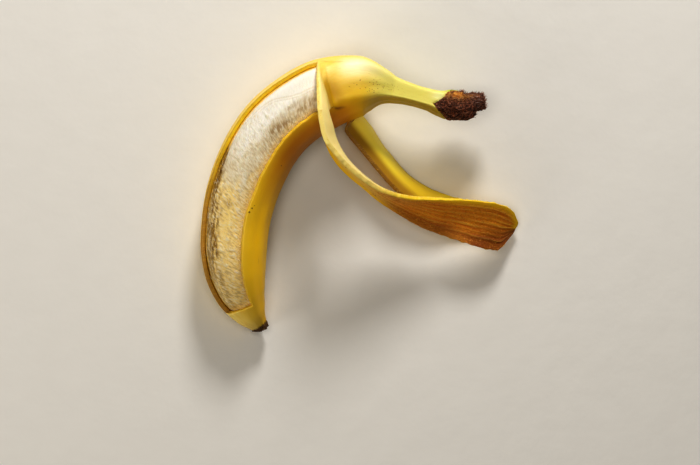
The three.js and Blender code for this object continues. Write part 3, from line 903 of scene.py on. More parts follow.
# %% Relief of the lining
LINING_LINES = (-49, -39, -29, -19, -8, 2, 12, 104, 114, 125, 136, 147, 156)    # degrees
LINE_HEIGHT, LINE_WIDTH, NEXT_LINE = 0.55, 2.4, 37.0
line_wander = waves(columns(0, 0, grown_length), (2.2, 22.0, 61), (1.0, 7.0, 62))
ribs = np.zeros(len(grown))
for number, degrees in enumerate(LINING_LINES):
    strength = 0.75 + 0.25 * noise(columns(grown_length, NEXT_LINE * number, 0), 14.0, 63)
    ribs += strength * np.exp(-((grown_angle - degrees - line_wander) / LINE_WIDTH) ** 2)
marks["ribs"] = clipped(ribs)
lining_relief = LINE_HEIGHT * ribs + 0.12 * noise(grown, (1.1, 1.1, 5.0), 64) - 0.12
lining_relief *= smooth(rim_distance, 0.3, 2.5) * smooth(rim_distance, 0, 1) * (on_near | on_far)

outer = outer + skin_normals * skin_relief[:, None]
inner = inner + lining_normals * lining_relief[:, None]
print("ribs up to", round(float(lining_relief.max()), 2), "mm high")

# %% [markdown]
# ## The torn edge
# Peel tears along its fibres, so the edge is pale, a little swollen and slightly ragged. Rows of
# points between the two layers are pushed out along the sheet to round it off.

# %% Round off the edge
EDGE_ROWS, EDGE_SWELL, SWELL_POWER = 5, 0.24, 0.6
EDGE_ROUGH, ROUGH_CELL, ROW_STEP = 0.07, 0.9, 9.0       # in millimetres
NOTCH_DEPTH, NOTCH_CELL = 0.30, 1.5                     # nicks in the edges of the near strip

tangents = np.zeros_like(outer)
step = unit(outer[rim_edges[:, 1]] - outer[rim_edges[:, 0]])
for end in (0, 1):
    np.add.at(tangents, rim_edges[:, end], step)
middle_normals = unit(skin_normals[rim_points] - lining_normals[rim_points])
outward = unit(np.cross(unit(tangents[rim_points]), middle_normals))
rim_length, rim_side = grown_length[rim_points], np.sign(grown_angle[rim_points])
notches = NOTCH_DEPTH * noise(columns(0, rim_side * ROW_STEP, rim_length), NOTCH_CELL, 80)
notches *= on_near[rim_points]
edge_shares = np.arange(1, EDGE_ROWS) / EDGE_ROWS
sides = []
for row, share in enumerate(edge_shares, start=1):
    swell = EDGE_SWELL * (4 * share * (1 - share)) ** SWELL_POWER
    rough = EDGE_ROUGH * noise(columns(ROW_STEP * row, ROW_STEP * row, rim_length), ROUGH_CELL, 70 + row)
    middle = lerp(outer[rim_points], inner[rim_points], share)
    sides.append(middle + outward * (swell + rough + notches)[:, None])
print("rows on the edge", len(sides))

# %% Number the points and faces of the whole shell
SKIN, LINING, EDGE, CROWN = range(4)


def used_by(groups):
    return np.isin(np.arange(len(outer)), np.concatenate([group.ravel() for group in groups]))


used_outer, used_inner = used_by(SKIN_GROUPS), used_by(LINING_GROUPS)
outer_number = np.where(used_outer, np.cumsum(used_outer) - 1, -1)
inner_number = np.where(used_inner, np.cumsum(used_inner) - 1 + used_outer.sum(), -1)
first_side = int(used_outer.sum() + used_inner.sum())
rim_place = np.full(len(outer), -1)
rim_place[rim_points] = np.arange(len(rim_points))
ladder = [outer_number, *(np.where(rim_place >= 0, first_side + k * len(rim_points) + rim_place, -1)
                          for k in range(len(sides))), inner_number]
edge_quads = np.concatenate([np.stack((high[rim_edges[:, 1]], high[rim_edges[:, 0]],
                                       low[rim_edges[:, 0]], low[rim_edges[:, 1]]), axis=-1)
                             for high, low in zip(ladder[:-1], ladder[1:])])

skin_faces = [outer_number[group] for group in SKIN_GROUPS]
lining_faces = [inner_number[group][:, ::-1] for group in LINING_GROUPS]
faces = [face for group in (*skin_faces, *lining_faces, edge_quads) for face in group.tolist()]
finishes = np.concatenate([np.full(len(group), number) for number, groups in
                           ((SKIN, skin_faces), (LINING, lining_faces), (EDGE, [edge_quads]))
                           for group in groups])
crown_of_face = np.concatenate([crown_share[group].mean(axis=1) for group in SKIN_GROUPS])
finishes[:len(crown_of_face)][crown_of_face > 0.5] = CROWN
print("peel triangles", sum(len(face) - 2 for face in faces))

# %% The peel's mesh, kept inside the box of the solids
LOW_CORNER, HIGH_CORNER = (np.array(corner) / MM for corner in (cad_low, cad_high))
points = np.concatenate([outer[used_outer], inner[used_inner]] + sides) + FRAME_SHIFT
points = np.clip(points, LOW_CORNER, HIGH_CORNER)
peel = mesh_object("peel_skin", points * MM, faces)
peel.data.polygons.foreach_set("material_index", finishes.astype(np.int32))


def for_points(values, on_rim=None):
    """Values for the outer points, the inner points and the rows of the torn edge."""
    rim_values = values[rim_points] if on_rim is None else np.full(len(rim_points), float(on_rim))
    return np.concatenate([values[used_outer], values[used_inner]] + [rim_values] * len(sides))


def paint(piece, name, values, kind="FLOAT"):
    """Store one value, or one vector, for each point of the piece."""
    field = "vector" if kind == "FLOAT_VECTOR" else "value"
    values = np.asarray(values, np.float32).ravel()
    piece.data.attributes.new(name, kind, "POINT").data.foreach_set(field, values)


paint(peel, "grown", for_points(grown), "FLOAT_VECTOR")
paint(peel, "rim", for_points(rim_distance, 0))
across_edge = np.repeat(edge_shares, len(rim_points))
paint(peel, "across", np.concatenate((np.zeros(used_outer.sum()), np.ones(used_inner.sum()), across_edge)))
for name, values in marks.items():
    paint(peel, name, for_points(values))
print("peel points", len(points), "with", len(peel.data.attributes), "attributes")

# %% [markdown]
# ## The flesh
# The flesh is a smooth, blunt ended body that lies 0.3 mm inside the peel. Peeling leaves its
# outer felt torn into short, slanting tufts, and the strings that ran under the peel leave faint
# lengthwise lines. The tufts are wider than the gaps between the points of this mesh, so they are
# real relief: rows and columns crowd together where the near window is open.

# %% Places on the flesh
WINDOW_COLUMNS, BACK_COLUMNS, WINDOW_MESH_ROWS, END_MESH_ROWS, START_MESH_ROWS = 108, 62, 440, 40, 16
WINDOW_FROM, WINDOW_TO = -92, 42        # degrees that hold the crowded columns
flesh_stations = np.concatenate((spread(CAVITY_START, WINDOW_START, START_MESH_ROWS),
                                 spread(WINDOW_START, NEAR_HINGE, WINDOW_MESH_ROWS),
                                 spread(NEAR_HINGE, CAVITY_END, END_MESH_ROWS)))[:-1]
flesh_angles = np.concatenate((np.linspace(WINDOW_FROM, WINDOW_TO, WINDOW_COLUMNS, endpoint=False),
                               np.linspace(WINDOW_TO, WINDOW_FROM + 360, BACK_COLUMNS, endpoint=False)))
flesh_length = length_at(flesh_stations)[:, None]
arc = np.radians((flesh_angles + 180) % 360 - 180)[None, :] * GROWN_RADIUS
unrolled = columns(arc, flesh_length, 0)
flesh_grown = grown_place(flesh_angles[None, :], flesh_length)
print("flesh rows and columns", unrolled.shape[:2])

# %% Tufts, strings and felt
TUFT_SLANT, CROSS_SLANT = math.radians(24), math.radians(33.6)
STRING_LINES = ((0, -64), (60, -62), (90, -52.5), (97, -54), (108, -49.5), (116, -44.5), (121, -39),
                (128, -24.5), (133, -18.5), (141, -16), (160, -12))     # length in mm, degrees


def slanted(place, slant, long_cell, short_cell, seed):
    """Noise drawn out into strokes that run across the fruit, leaning by the slant."""
    along = place[..., 0] * math.cos(slant) - place[..., 1] * math.sin(slant)
    across = place[..., 1] * math.cos(slant) + place[..., 0] * math.sin(slant)
    return noise(columns(along, across, 0), (long_cell, short_cell, 1.0), seed)


def arc_of(*line):
    """Where a line of lengths and degrees runs, in mm round the flesh."""
    return np.radians(np.interp(flesh_length, *np.array(line, float).T)) * GROWN_RADIUS


drift = columns(0, 0.5 * noise(unrolled, 8.0, 91), 0)
tufts = (0.6 * slanted(unrolled + drift, TUFT_SLANT, 2.2, 0.46, 92)
         + 0.4 * slanted(unrolled - drift, CROSS_SLANT, 1.5, 0.45, 93))
from_string = arc - arc_of(*STRING_LINES)
string_line = np.exp(-(from_string / 0.45) ** 2) + 0.7 * np.exp(-((from_string - 1.5) / 0.4) ** 2)
sleek = clipped(smooth(flesh_length, 108, 128) * smooth(-from_string, -2.5, 0.5)
                + 0.8 * blot(unrolled, (58, -18), 9, 3.2))
near_outer, near_inner = (np.radians(edge)[:, None] * GROWN_RADIUS for edge in near_edges(flesh_stations))
to_inner, to_outer = near_inner - arc, arc - near_outer     # mm from the edges of the window
felt = (1 - 0.9 * sleek) * smooth(to_outer, -2, 1.5) * smooth(to_inner, -2, 1.5)
print("felt covers", round(100 * float(felt.mean())), "% of the flesh's points")

# %% Relief of the flesh
hollow = blot(unrolled, (80, -62), 6.0, 1.9) + 0.6 * blot(unrolled, (88, -64), 3.0, 1.4)
crumbs = waves(unrolled, (0.5, 0.7, 94), (0.5, 1.3, 95))
border = np.exp(-((to_inner - 0.6) / 2.1) ** 2) * (flesh_length > 20)
flesh_relief = (waves(flesh_grown, (0.22, (4.0, 4.0, 18.0), 81)) + 0.13 * felt * tufts
                - 0.16 * string_line * (1 - 0.4 * felt) - 0.7 * hollow + 0.22 * border * crumbs
                + 0.22 * np.exp(-to_outer ** 2))
flesh_relief = np.minimum(flesh_relief - 0.12, PULP_GAP - 0.05)
flesh_rings = inner_points(flesh_stations[:, None], flesh_angles[None, :], PEEL_THICKNESS + PULP_GAP)
middles = axes_at(flesh_stations)[0][:, None]
flesh_rings = flesh_rings + unit(flesh_rings - middles) * flesh_relief[..., None]
print("flesh relief, mm", round(float(flesh_relief.min()), 2), "to", round(float(flesh_relief.max()), 2))

# %% Stains and patches of the flesh
# the tan mark: yellower and drier flesh toward the blossom end, together with painted shade along the middle
# and painted light where the flesh is whiter; stain: grey brown streaks; olive: soft brown beside the outer
# edge
STREAKS = ((1.1, (112, 6), 4.5, 2.4), (1.1, (119.5, 14), 4.5, 2.0), (0.9, (105, 8), 3.5, 2.0),
           (0.55, (133, 9), 9, 3.5), (0.35, (100, 14), 9, 2.0), (0.25, (78, 8), 14, 4.0))
OLIVE_EDGE = ((40, -31), (60, -34), (72, -43), (85, -55), (97, -67))    # length in mm, degrees
near_side = plateau(arc, -29, -27, 24, 30)
# painted light: the flesh toward the stalk, on the side of the outer curve, is made whiter where the lamp
# falls on it
lit_side = smooth(flesh_length, 70, 125) * np.where(near_side > 0.5, smooth(-arc, -4, 10), 0.8)
patchy = 0.5 + 0.5 * noise(unrolled, (2.6, 7.0, 1.0), 96)
tan = clipped(1.0 - 0.85 * lit_side - 0.34 * smooth(flesh_length, 60, 100) + 0.25 * (patchy - 0.5)
              + 0.9 * blot(unrolled, (55, -21), 13, 3.0) + 0.5 * blot(unrolled, (68, -18), 2.5, 3.0))
streaks = sum(strength * blot(unrolled, middle, length, width) for strength, middle, length, width in STREAKS)
stain = clipped(1.25 * streaks * smooth(0.8 * patchy - 0.6 * tufts, 0.10, 0.70))
beyond = arc_of(*OLIVE_EDGE) + 2.2 * noise(unrolled, (2.2, 4.5, 1.0), 97) - arc
belt = (0.9 * smooth(beyond, -1.8, 2.2) + 0.3 * np.exp(-((beyond - 2.0) / 2.2) ** 2))
belt = belt * (1 - smooth(flesh_length, 90, 98))
wisped = smooth(0.62 - 0.4 * tufts + 0.6 * noise(unrolled, (1.3, 5.0, 1.0), 98), 0.05, 0.75)
olive = clipped(belt * wisped + 1.5 * hollow + 0.7 * blot(unrolled, (68.3, -18), 1.6, 2.6))
olive = olive * near_side * (0.35 + 0.65 * smooth(flesh_length, 26, 46))
flesh_marks = {
    "tan": tan, "stain": stain, "olive": olive, "pit": clipped(1.3 * hollow), "string_line": string_line,
    "border_tint": clipped(border * (0.85 + 0.6 * crumbs)),
    "outer_tint": (1 - smooth(to_outer + 0.5 * crumbs, 0.7, 2.4)) * (1 - 0.75 * olive),
    "tufts": 0.5 + 0.5 * tufts * felt}
print("marks on the flesh", list(flesh_marks))

# %% Flesh piece
ring_numbers = np.arange(flesh_length.size * arc.size).reshape(flesh_length.size, arc.size) + 1
first_tip, last_tip = (catmull(SPINE, station / LAST)[None] for station in (CAVITY_START, CAVITY_END))
flesh_points = np.concatenate((first_tip, flesh_rings.reshape(-1, 3), last_tip)) + FRAME_SHIFT
flesh_faces = (fan(0, ring_numbers[0], True).tolist() + ring_quads(ring_numbers).reshape(-1, 4).tolist()
               + fan(ring_numbers[-1, -1] + 1, ring_numbers[-1], False).tolist())
flesh = mesh_object("flesh", flesh_points * MM, flesh_faces)


def with_tips(values):
    """Values for the first tip, the rings and the last tip."""
    return np.concatenate((values[:1, 0], values.reshape(-1, *values.shape[2:]), values[-1:, 0]))


paint(flesh, "unrolled", with_tips(unrolled), "FLOAT_VECTOR")
for name, values in flesh_marks.items():
    paint(flesh, name, with_tips(values))
print("flesh triangles", sum(len(face) - 2 for face in flesh_faces))

# %% [markdown]
# ## Finishes of the peel
# Ripe skin is a waxy yellow that turns to green on the stalk and to gold on the inside of the
# curve, with brown specks and a few scuffs. The lining is orange yellow with long ribs, and the
# torn edge between them shows pale, fibrous peel. All patterns are read from the place where each
# point grew, so they run on over the folds.


# %% Skin
def lengthwise(finish, place, scale, stretch, detail=3.0, roughness=0.55):
    """Noise drawn out along the fruit."""
    return finish.noise(finish.stretched(place, (1, 1, stretch)), scale, detail, roughness)


def dark_dot(finish, place, length, degrees, radius):
    """1 inside a small round dot at a length in mm and an angle in degrees."""
    middle = tuple(float(part) for part in grown_place(degrees, length))
    away = finish.node("VectorMath", {"operation": "DISTANCE"}, {0: place, 1: middle}, out=1)
    return away.step(radius, 0.4 * radius)


# length in mm, degrees past the inner edge of the near window, radius in mm
DOTS = ((68.9, 5.0, 0.55), (66.6, 2.0, 0.7), (70.5, 8.0, 0.3), (96.0, 30.0, 0.4))
DOTS_AT = 68.0
_, dots_edge = near_edges(station_at(DOTS_AT))

skin = Finish("banana_skin")
place = skin.attribute("grown", "Vector")
broad = lengthwise(skin, place, 0.10, 0.4, 3)
mottle = lengthwise(skin, place, 0.55, 0.45, 4, 0.6)
fine = lengthwise(skin, place, 2.4, 0.25, 3)
colour = skin.mix(broad.step(0.35, 0.65), (0.92, 0.64, 0.10), (0.95, 0.73, 0.21))
colour = skin.tint(
    colour,
    (mottle.step(0.35, 0.75), 0.35, (0.80, 0.50, 0.015)),
    # painted shade: deeper gold on the side turned from the lamp
    ("warm", 0.85, (0.86, 0.56, 0.02)),
    # painted shade over the far strip
    ("far", 0.9, (0.60, 0.50, 0.02)),
    ("golden", 0.9, (1.0, 0.62, 0.006)),
    # painted shade over the middle of the inner band
    ("deep", 0.85, (0.54, 0.19, 0.004)),
    # painted highlight on the shoulder and the stalk
    ("bleached", 0.85, (0.98, 0.91, 0.64)),
    # painted shade in the hollow beside the fold
    ("hollow", 0.85, (0.52, 0.29, 0.004)),
    ("green", 0.85, (0.82, 0.76, 0.20)),
    ("shaded", 0.8, (0.46, 0.30, 0.03)),
    # painted light on the skin of the strip just past the fold
    ("folded", 0.8, (0.94, 0.79, 0.36)),
    # painted shade on the far strip near its fold
    ("root", 0.7, (0.26, 0.11, 0.010)),
    # painted light on the far strip near its fold
    ("pale_root", 0.9, (1.0, 0.84, 0.09)),
    # the painted highlight where it lies on the green stalk
    (skin.attribute("bleached") * skin.attribute("green"), 0.3, (0.92, 0.88, 0.62)),
    ("leafy", 0.9, (0.42, 0.50, 0.04)))
print("nodes of the colours alone", len(skin.tree.nodes))

# %% Specks, scuffs and the blossom end
pits = skin.node("TexVoronoi", {"feature": "F1"}, {"Vector": place, "Scale": 0.62, "Randomness": 1.0})
sizes = skin.noise(place, 1.1, 1)
speckled = (skin.attribute("speckle") + (mottle - 0.42).step(0.18, 0.30) * 0.5).step(0.25, 0.6)
specks = (1 - (pits - sizes * 0.30).step(0.0, 0.07)) * speckled
dots = [(dark_dot(skin, place, length, float(dots_edge) + past, radius), 0.9, (0.13, 0.03, 0.004))
        for length, past, radius in DOTS]
scuffs = lengthwise(skin, place, 0.9, 0.10, 2).step(0.70, 0.76) * (broad - 0.5).step(0.0, 0.1)
nub = skin.mix(fine.step(0.40, 0.62), (0.035, 0.018, 0.010), (0.17, 0.09, 0.035))
blossom = skin.attribute("blossom")
colour = skin.tint(colour, (specks, 0.75, (0.40, 0.19, 0.03)), *dots,
                   (scuffs, 0.35, (0.42, 0.24, 0.06)),
                   ("seam", 0.85, (0.24, 0.075, 0.012)),
                   (blossom, 1, nub))
skin.surface({"Base Color": colour, "Roughness": 0.43 + fine * 0.08 + specks * 0.2 + blossom * 0.25,
              "Subsurface Weight": 0.12, "Subsurface Radius": (0.005, 0.0025, 0.0006),
              "Specular IOR Level": 0.5},
             [(mottle, 0.00010), (fine, 0.00006), (1 - specks, 0.00012)])
print("skin nodes", len(skin.tree.nodes))

# %% Lining
lining = Finish("peel_lining")
place = lining.attribute("grown", "Vector")
streak = lengthwise(lining, place, 0.9, 0.07, 4)
hairs = lengthwise(lining, place, 3.2, 0.10, 3)
grain = lining.noise(place, 1.6, 3)
mottling = lining.noise(place, 0.9, 4, 0.65)
scorched, browned = lining.attribute("scorched"), lining.attribute("browned")
# a paler band along the lining's torn rims: partly paler peel and partly painted light where the rims catch
# the lamp
rim_band_and_light = (lining.attribute("rim") + grain * 1.6).step(4.6, 1.2)
colour = lining.mix(streak.step(0.32, 0.68), (0.76, 0.240, 0.008), (0.93, 0.40, 0.020))
colour = lining.tint(
    colour,
    (lining.attribute("ribs").step(0.20, 0.90), 0.9, (1.0, 0.62, 0.09)),
    # paler lining near the fold: partly fresh peel and partly painted light on the shaded side of the strip
    (lining.attribute("fresh") * (0.75 + streak * 0.3), 1, (1.0, 0.72, 0.17)),
    (hairs.step(0.5, 0.8), 0.35, (0.42, 0.14, 0.008)),
    # brown far half of the lining: partly its own colour and partly painted shade
    (browned * (grain.step(0.45, 0.75) * 0.6 + 0.25), 1, (0.42, 0.13, 0.010)),
    (rim_band_and_light * (0.80 + hairs * 0.4 - scorched * 1.1), 1, (1.0, 0.63, 0.020)),
    # near-black lining on one side and at the end: partly browned peel and partly painted shade
    (scorched * (0.50 + grain * 0.5), 1, (0.16, 0.032, 0.004)),
    (browned * mottling.step(0.56, 0.68), 0.5, (0.98, 0.42, 0.10)))
lining.surface({"Base Color": colour, "Roughness": 0.52 + grain * 0.12, "Subsurface Weight": 0.15,
                "Subsurface Radius": (0.004, 0.0015, 0.0004), "Specular IOR Level": 0.4},
               [(streak, 0.0002), (hairs, 0.00016), (grain, 0.00022)])
print("lining nodes", len(lining.tree.nodes))

# %% Torn edge
edge = Finish("torn_edge")
place = edge.attribute("grown", "Vector")
shreds = edge.noise(edge.stretched(place, (1.0, 1.0, 0.6)), 2.6, 4, 0.6)
dabs = edge.noise(place, 0.45, 2)
across = edge.attribute("across")
under_skin = across.step(0.02, 0.12) * across.step(0.36, 0.22) * edge.attribute("body")
colour = edge.mix(shreds.step(0.35, 0.70), (0.86, 0.58, 0.035), (0.93, 0.74, 0.16))
colour = edge.tint(
    colour,
    (dabs.step(0.55, 0.75), 0.4, (0.82, 0.50, 0.03)),
    (under_skin, 0.7, (0.62, 0.38, 0.03)),
    (across.step(0.22, 0.36), 0.75, (0.97, 0.68, 0.016)),
    ("golden", 0.9, (0.84, 0.45, 0.010)),
    # painted shade on the torn edges of the far strip near its fold
    ("root", 0.9, (0.24, 0.11, 0.012)),
    # paler torn edges near the fold: partly fresh peel and partly painted light
    ("fresh", 0.7, (0.95, 0.80, 0.34)),
    # darker torn edges on that side and end: partly browned peel and partly painted shade
    ("scorched", 0.85, (0.52, 0.22, 0.02)),
    (edge.attribute("aged") * (0.55 + shreds * 0.6), 1, (0.40, 0.20, 0.035)))
edge.surface({"Base Color": colour, "Roughness": 0.5, "Subsurface Weight": 0.15,
              "Subsurface Radius": (0.003, 0.002, 0.0006)}, [(shreds, 0.00022)])
print("torn edge nodes", len(edge.tree.nodes))

# %% Crown
crown = Finish("crown_bark")
place = crown.attribute("grown", "Vector")
coarse = crown.noise(place, 0.35, 3)
grit = crown.noise(place, 1.15, 4, 0.65)
threads = lengthwise(crown, place, 2.0, 0.22, 4, 0.6)
rust = crown.mix(threads.step(0.45, 0.60), (0.66, 0.24, 0.03), (0.98, 0.56, 0.14))
colour = crown.mix(grit.step(0.46, 0.60), (0.024, 0.007, 0.005), (0.46, 0.15, 0.07))
colour = crown.tint(
    colour,
    (threads.step(0.57, 0.65), 0.85, (0.72, 0.38, 0.25)),
    (crown.attribute("rusty") * (coarse + grit).step(0.50, 0.90), 1, rust),
    (crown.attribute("greyed") * threads.step(0.50, 0.60), 0.85, (0.52, 0.38, 0.35)))
crown.surface({"Base Color": colour, "Roughness": 0.62 + grit * 0.2, "Specular IOR Level": 0.45},
              [(coarse, 0.0008), (grit, 0.0007), (threads, 0.0004)])
for finish in (skin, lining, edge, crown):      # in the order of SKIN, LINING, EDGE and CROWN
    peel.data.materials.append(finish.material)
print("peel finishes", [material.name for material in peel.data.materials])

# %% [markdown]
# ## Finish of the flesh
# Fresh flesh is cream white and slightly see-through. The tufts are whiter than the gaps between
# them, and the gaps carry painted shade. Handling has turned it brown beside the inner edge, and it
# dries to gold toward the blossom end; along the middle it is painted greyer as shade, and toward
# the stalk whiter as painted light.

# %% Flesh
pale = Finish("flesh_surface")
place = pale.attribute("unrolled", "Vector")
leaning = pale.node("Mapping", None, {"Vector": place, "Rotation": (0.0, 0.0, TUFT_SLANT)})
strokes = pale.noise(pale.stretched(leaning, (0.40, 2.9, 1.0)), 1.0, 4, 0.60, 0.12)
powder = pale.noise(place, 2.2, 3, 0.6)
wisps = pale.noise(pale.stretched(place, (2.4, 0.5, 1.0)), 1.0, 4, 0.6, 0.4)
tuft = pale.attribute("tufts") * 0.6 + strokes * 0.4
tanned_and_shaded = pale.attribute("tan")
browning = pale.mix(wisps.step(0.42, 0.66), (0.19, 0.09, 0.008), (0.68, 0.43, 0.09))
crumb_tone = pale.mix(powder.step(0.40, 0.58), (0.50, 0.29, 0.07), (0.90, 0.68, 0.28))
# whiter flesh where the tan mark is low and greyer, darker flesh where it is high: partly dried flesh, partly
# painted light and painted shade
colour = pale.mix(tanned_and_shaded.step(0.15, 0.60), (0.95, 0.92, 0.84), (0.80, 0.71, 0.51))
colour = pale.tint(
    colour,
    (tanned_and_shaded.step(0.68, 0.98), 1, (0.98, 0.75, 0.30)),
    # painted shade in the gaps between the tufts; the next mark makes the tufts themselves whiter
    (tuft.step(0.52, 0.36) * (0.12 + tanned_and_shaded * 0.5), 1, (0.56, 0.41, 0.22)),
    (tuft.step(0.52, 0.68), 0.5, (0.96, 0.93, 0.85)),
    ("string_line", 0.35, (0.60, 0.47, 0.26)),
    ("stain", 0.85, (0.38, 0.25, 0.12)),
    ("olive", 0.95, browning),
    ("border_tint", 0.75, crumb_tone),
    ("outer_tint", 0.9, (0.93, 0.60, 0.06)),
    (pale.attribute("pit") * (1 - wisps).step(0.40, 0.56), 0.95, (0.10, 0.04, 0.010)))
pale.surface({"Base Color": colour, "Roughness": 0.48 + powder * 0.12, "Subsurface Weight": 0.12,
              "Subsurface Radius": (0.003, 0.002, 0.001), "Specular IOR Level": 0.4},
             [(strokes, 0.00036), (powder, 0.00012)])
flesh.data.materials.append(pale.material)
print("flesh nodes", len(pale.tree.nodes))

# %% [markdown]
# ## Loose fibres
# The bark of the crown frays, the torn felt of the flesh lifts in wisps, strands lie matted on the
# lining, and the torn edge ends in short threads. They could be modelled one at a time; a scatter
# follows any surface and keeps the amounts in a few named numbers. Every thread is a thin, curled
# cone of only 22 faces, because there are thousands of them.


# %% Geometry trees
class GeometryTree:
    """A Geometry Nodes group, built node by node."""

    def __init__(self, name, inputs):
        self.tree = bpy.data.node_groups.new(name, "GeometryNodeTree")
        for label, kind in (("Geometry", "Geometry"), *inputs):
            self.tree.interface.new_socket(label, in_out="INPUT", socket_type="NodeSocket" + kind)
        self.tree.interface.new_socket("Geometry", in_out="OUTPUT", socket_type="NodeSocketGeometry")
        self.given = self.tree.nodes.new("NodeGroupInput").outputs

    def node(self, kind, settings=None, sockets=None, out=0):
        node = self.tree.nodes.new(kind)
        for key, value in (settings or {}).items():
            setattr(node, key, value)
        for key, value in (sockets or {}).items():
            if isinstance(value, bpy.types.NodeSocket):
                self.tree.links.new(value, node.inputs[key])
            else:
                node.inputs[key].default_value = value
        return node.outputs[out]

    def math(self, operation, *values):
        return self.node("ShaderNodeMath", {"operation": operation}, dict(enumerate(values)))

    def sum(self, first, second):
        return self.node("ShaderNodeVectorMath", {"operation": "ADD"}, {0: first, 1: second})

    def scaled(self, vector, scale):
        return self.node("ShaderNodeVectorMath", {"operation": "SCALE"}, {0: vector, "Scale": scale})

    def vector(self, **parts):
        """A vector of the x, y and z that are given; the others are 0."""
        return self.node("ShaderNodeCombineXYZ", None, {name.upper(): value for name, value in parts.items()})

    def attribute(self, name, kind):
        return self.node("GeometryNodeInputNamedAttribute", {"data_type": kind}, {"Name": name})

    def random(self, low, high, seed):
        """A random number for each point, or a random vector where low is a vector.

        The node's vectors are its inputs 0 and 1 and output 0, its numbers inputs 2 and 3 and output 1.
        """
        kind, first = ("FLOAT_VECTOR", 0) if isinstance(low, tuple) else ("FLOAT", 2)
        return self.node("FunctionNodeRandomValue", {"data_type": kind},
                         {first: low, first + 1: high, "Seed": seed}, out=first // 2)

    def result(self, geometry):
        self.tree.links.new(geometry, self.tree.nodes.new("NodeGroupOutput").inputs[0])

    def inputs(self):
        """The identifier of each named input."""
        return {item.name: item.identifier for item in self.tree.interface.items_tree
                if item.in_out == "INPUT"}


fibre = GeometryTree("fibre_scatter", (
    ("Density", "Float"), ("Shortest", "Float"), ("Longest", "Float"), ("Thickness", "Float"),
    ("Rise", "Float"), ("Disorder", "Float"), ("Curl", "Float"), ("Seed", "Int"), ("Material", "Material")))
given = fibre.given
print("inputs", list(fibre.inputs()))

# %% [markdown]
# One thread is a cone one unit long, bowed and waved by its curl and scaled on its point. Points
# are dealt out by the painted share, and each thread turns toward the painted lie, a little off
# the surface and a little at random.

# %% One thread
CONE_SIDES, CONE_STEPS, TIP_WIDTH = 4, 5, 0.25
WAVES, WAVE_SHARE = 5.0, 0.3

cone = fibre.node("GeometryNodeMeshCone", {"fill_type": "NGON"},
                  {"Vertices": CONE_SIDES, "Side Segments": CONE_STEPS, "Radius Top": TIP_WIDTH,
                   "Radius Bottom": 1.0, "Depth": 1.0})
height = fibre.node("ShaderNodeSeparateXYZ", None, {0: fibre.node("GeometryNodeInputPosition")}, out=2)
bow = fibre.math("MULTIPLY", fibre.math("MULTIPLY", height, height), given["Curl"])
wave = fibre.math("MULTIPLY", fibre.math("SINE", fibre.math("MULTIPLY", height, WAVES)),
                  fibre.math("MULTIPLY", given["Curl"], WAVE_SHARE))
thread = fibre.node("GeometryNodeSetPosition", None,
                    {"Geometry": cone, "Offset": fibre.vector(x=bow, y=wave)})
THREAD_POINTS = CONE_SIDES * (CONE_STEPS + 1)
print("points of a thread", THREAD_POINTS)

# %% Threads on a surface
TONE_SEED, LIE_SEED, SPIN_SEED, LENGTH_SEED = 5, 6, 7, 8
FULL_TURN = 6.283

scattered = fibre.node("GeometryNodeDistributePointsOnFaces", {"distribute_method": "RANDOM"}, {
    "Mesh": given["Geometry"], "Seed": given["Seed"],
    "Density": fibre.math("MULTIPLY", given["Density"], fibre.attribute("share", "FLOAT"))})
toned = fibre.node("GeometryNodeStoreNamedAttribute", {"data_type": "FLOAT"}, {
    "Geometry": scattered, "Name": "tone", "Value": fibre.random(0.0, 1.0, TONE_SEED)})
risen = fibre.scaled(scattered.node.outputs["Normal"], given["Rise"])
strayed = fibre.scaled(fibre.random((-1.0,) * 3, (1.0,) * 3, LIE_SEED), given["Disorder"])
heading = fibre.sum(fibre.sum(fibre.attribute("lie", "FLOAT_VECTOR"), risen), strayed)
aimed = fibre.node("FunctionNodeAlignRotationToVector", {"axis": "Z"}, {"Vector": heading})
spin = fibre.node("FunctionNodeEulerToRotation", None,
                  {0: fibre.vector(z=fibre.random(0.0, FULL_TURN, SPIN_SEED))})
spun = fibre.node("FunctionNodeRotateRotation", {"rotation_space": "LOCAL"},
                  {"Rotation": aimed, "Rotate By": spin})
size = fibre.vector(x=given["Thickness"], y=given["Thickness"],
                    z=fibre.random(given["Shortest"], given["Longest"], LENGTH_SEED))
threads = fibre.node("GeometryNodeInstanceOnPoints", None, {
    "Points": toned, "Instance": thread, "Rotation": spun, "Scale": size})
solid = fibre.node("GeometryNodeRealizeInstances", None, {"Geometry": threads})
fibre.result(fibre.node("GeometryNodeSetMaterial", None, {"Geometry": solid, "Material": given["Material"]}))
print("scatter nodes", len(fibre.tree.nodes))

# %% Turn a scatter into a plain mesh
BOX_MARGIN = 1e-6       # in metres


def keep_in_box(mesh):
    """Move points that reach past the box of the solids back into it, and shade the mesh smooth."""
    ends = np.empty(3 * len(mesh.vertices), np.float32)
    mesh.vertices.foreach_get("co", ends)
    ends = np.clip(ends.reshape(-1, 3), np.array(cad_low) + BOX_MARGIN, np.array(cad_high) - BOX_MARGIN)
    mesh.vertices.foreach_set("co", ends.astype(np.float32).ravel())
    mesh.polygons.foreach_set("use_smooth", [True] * len(mesh.polygons))
    mesh.update()


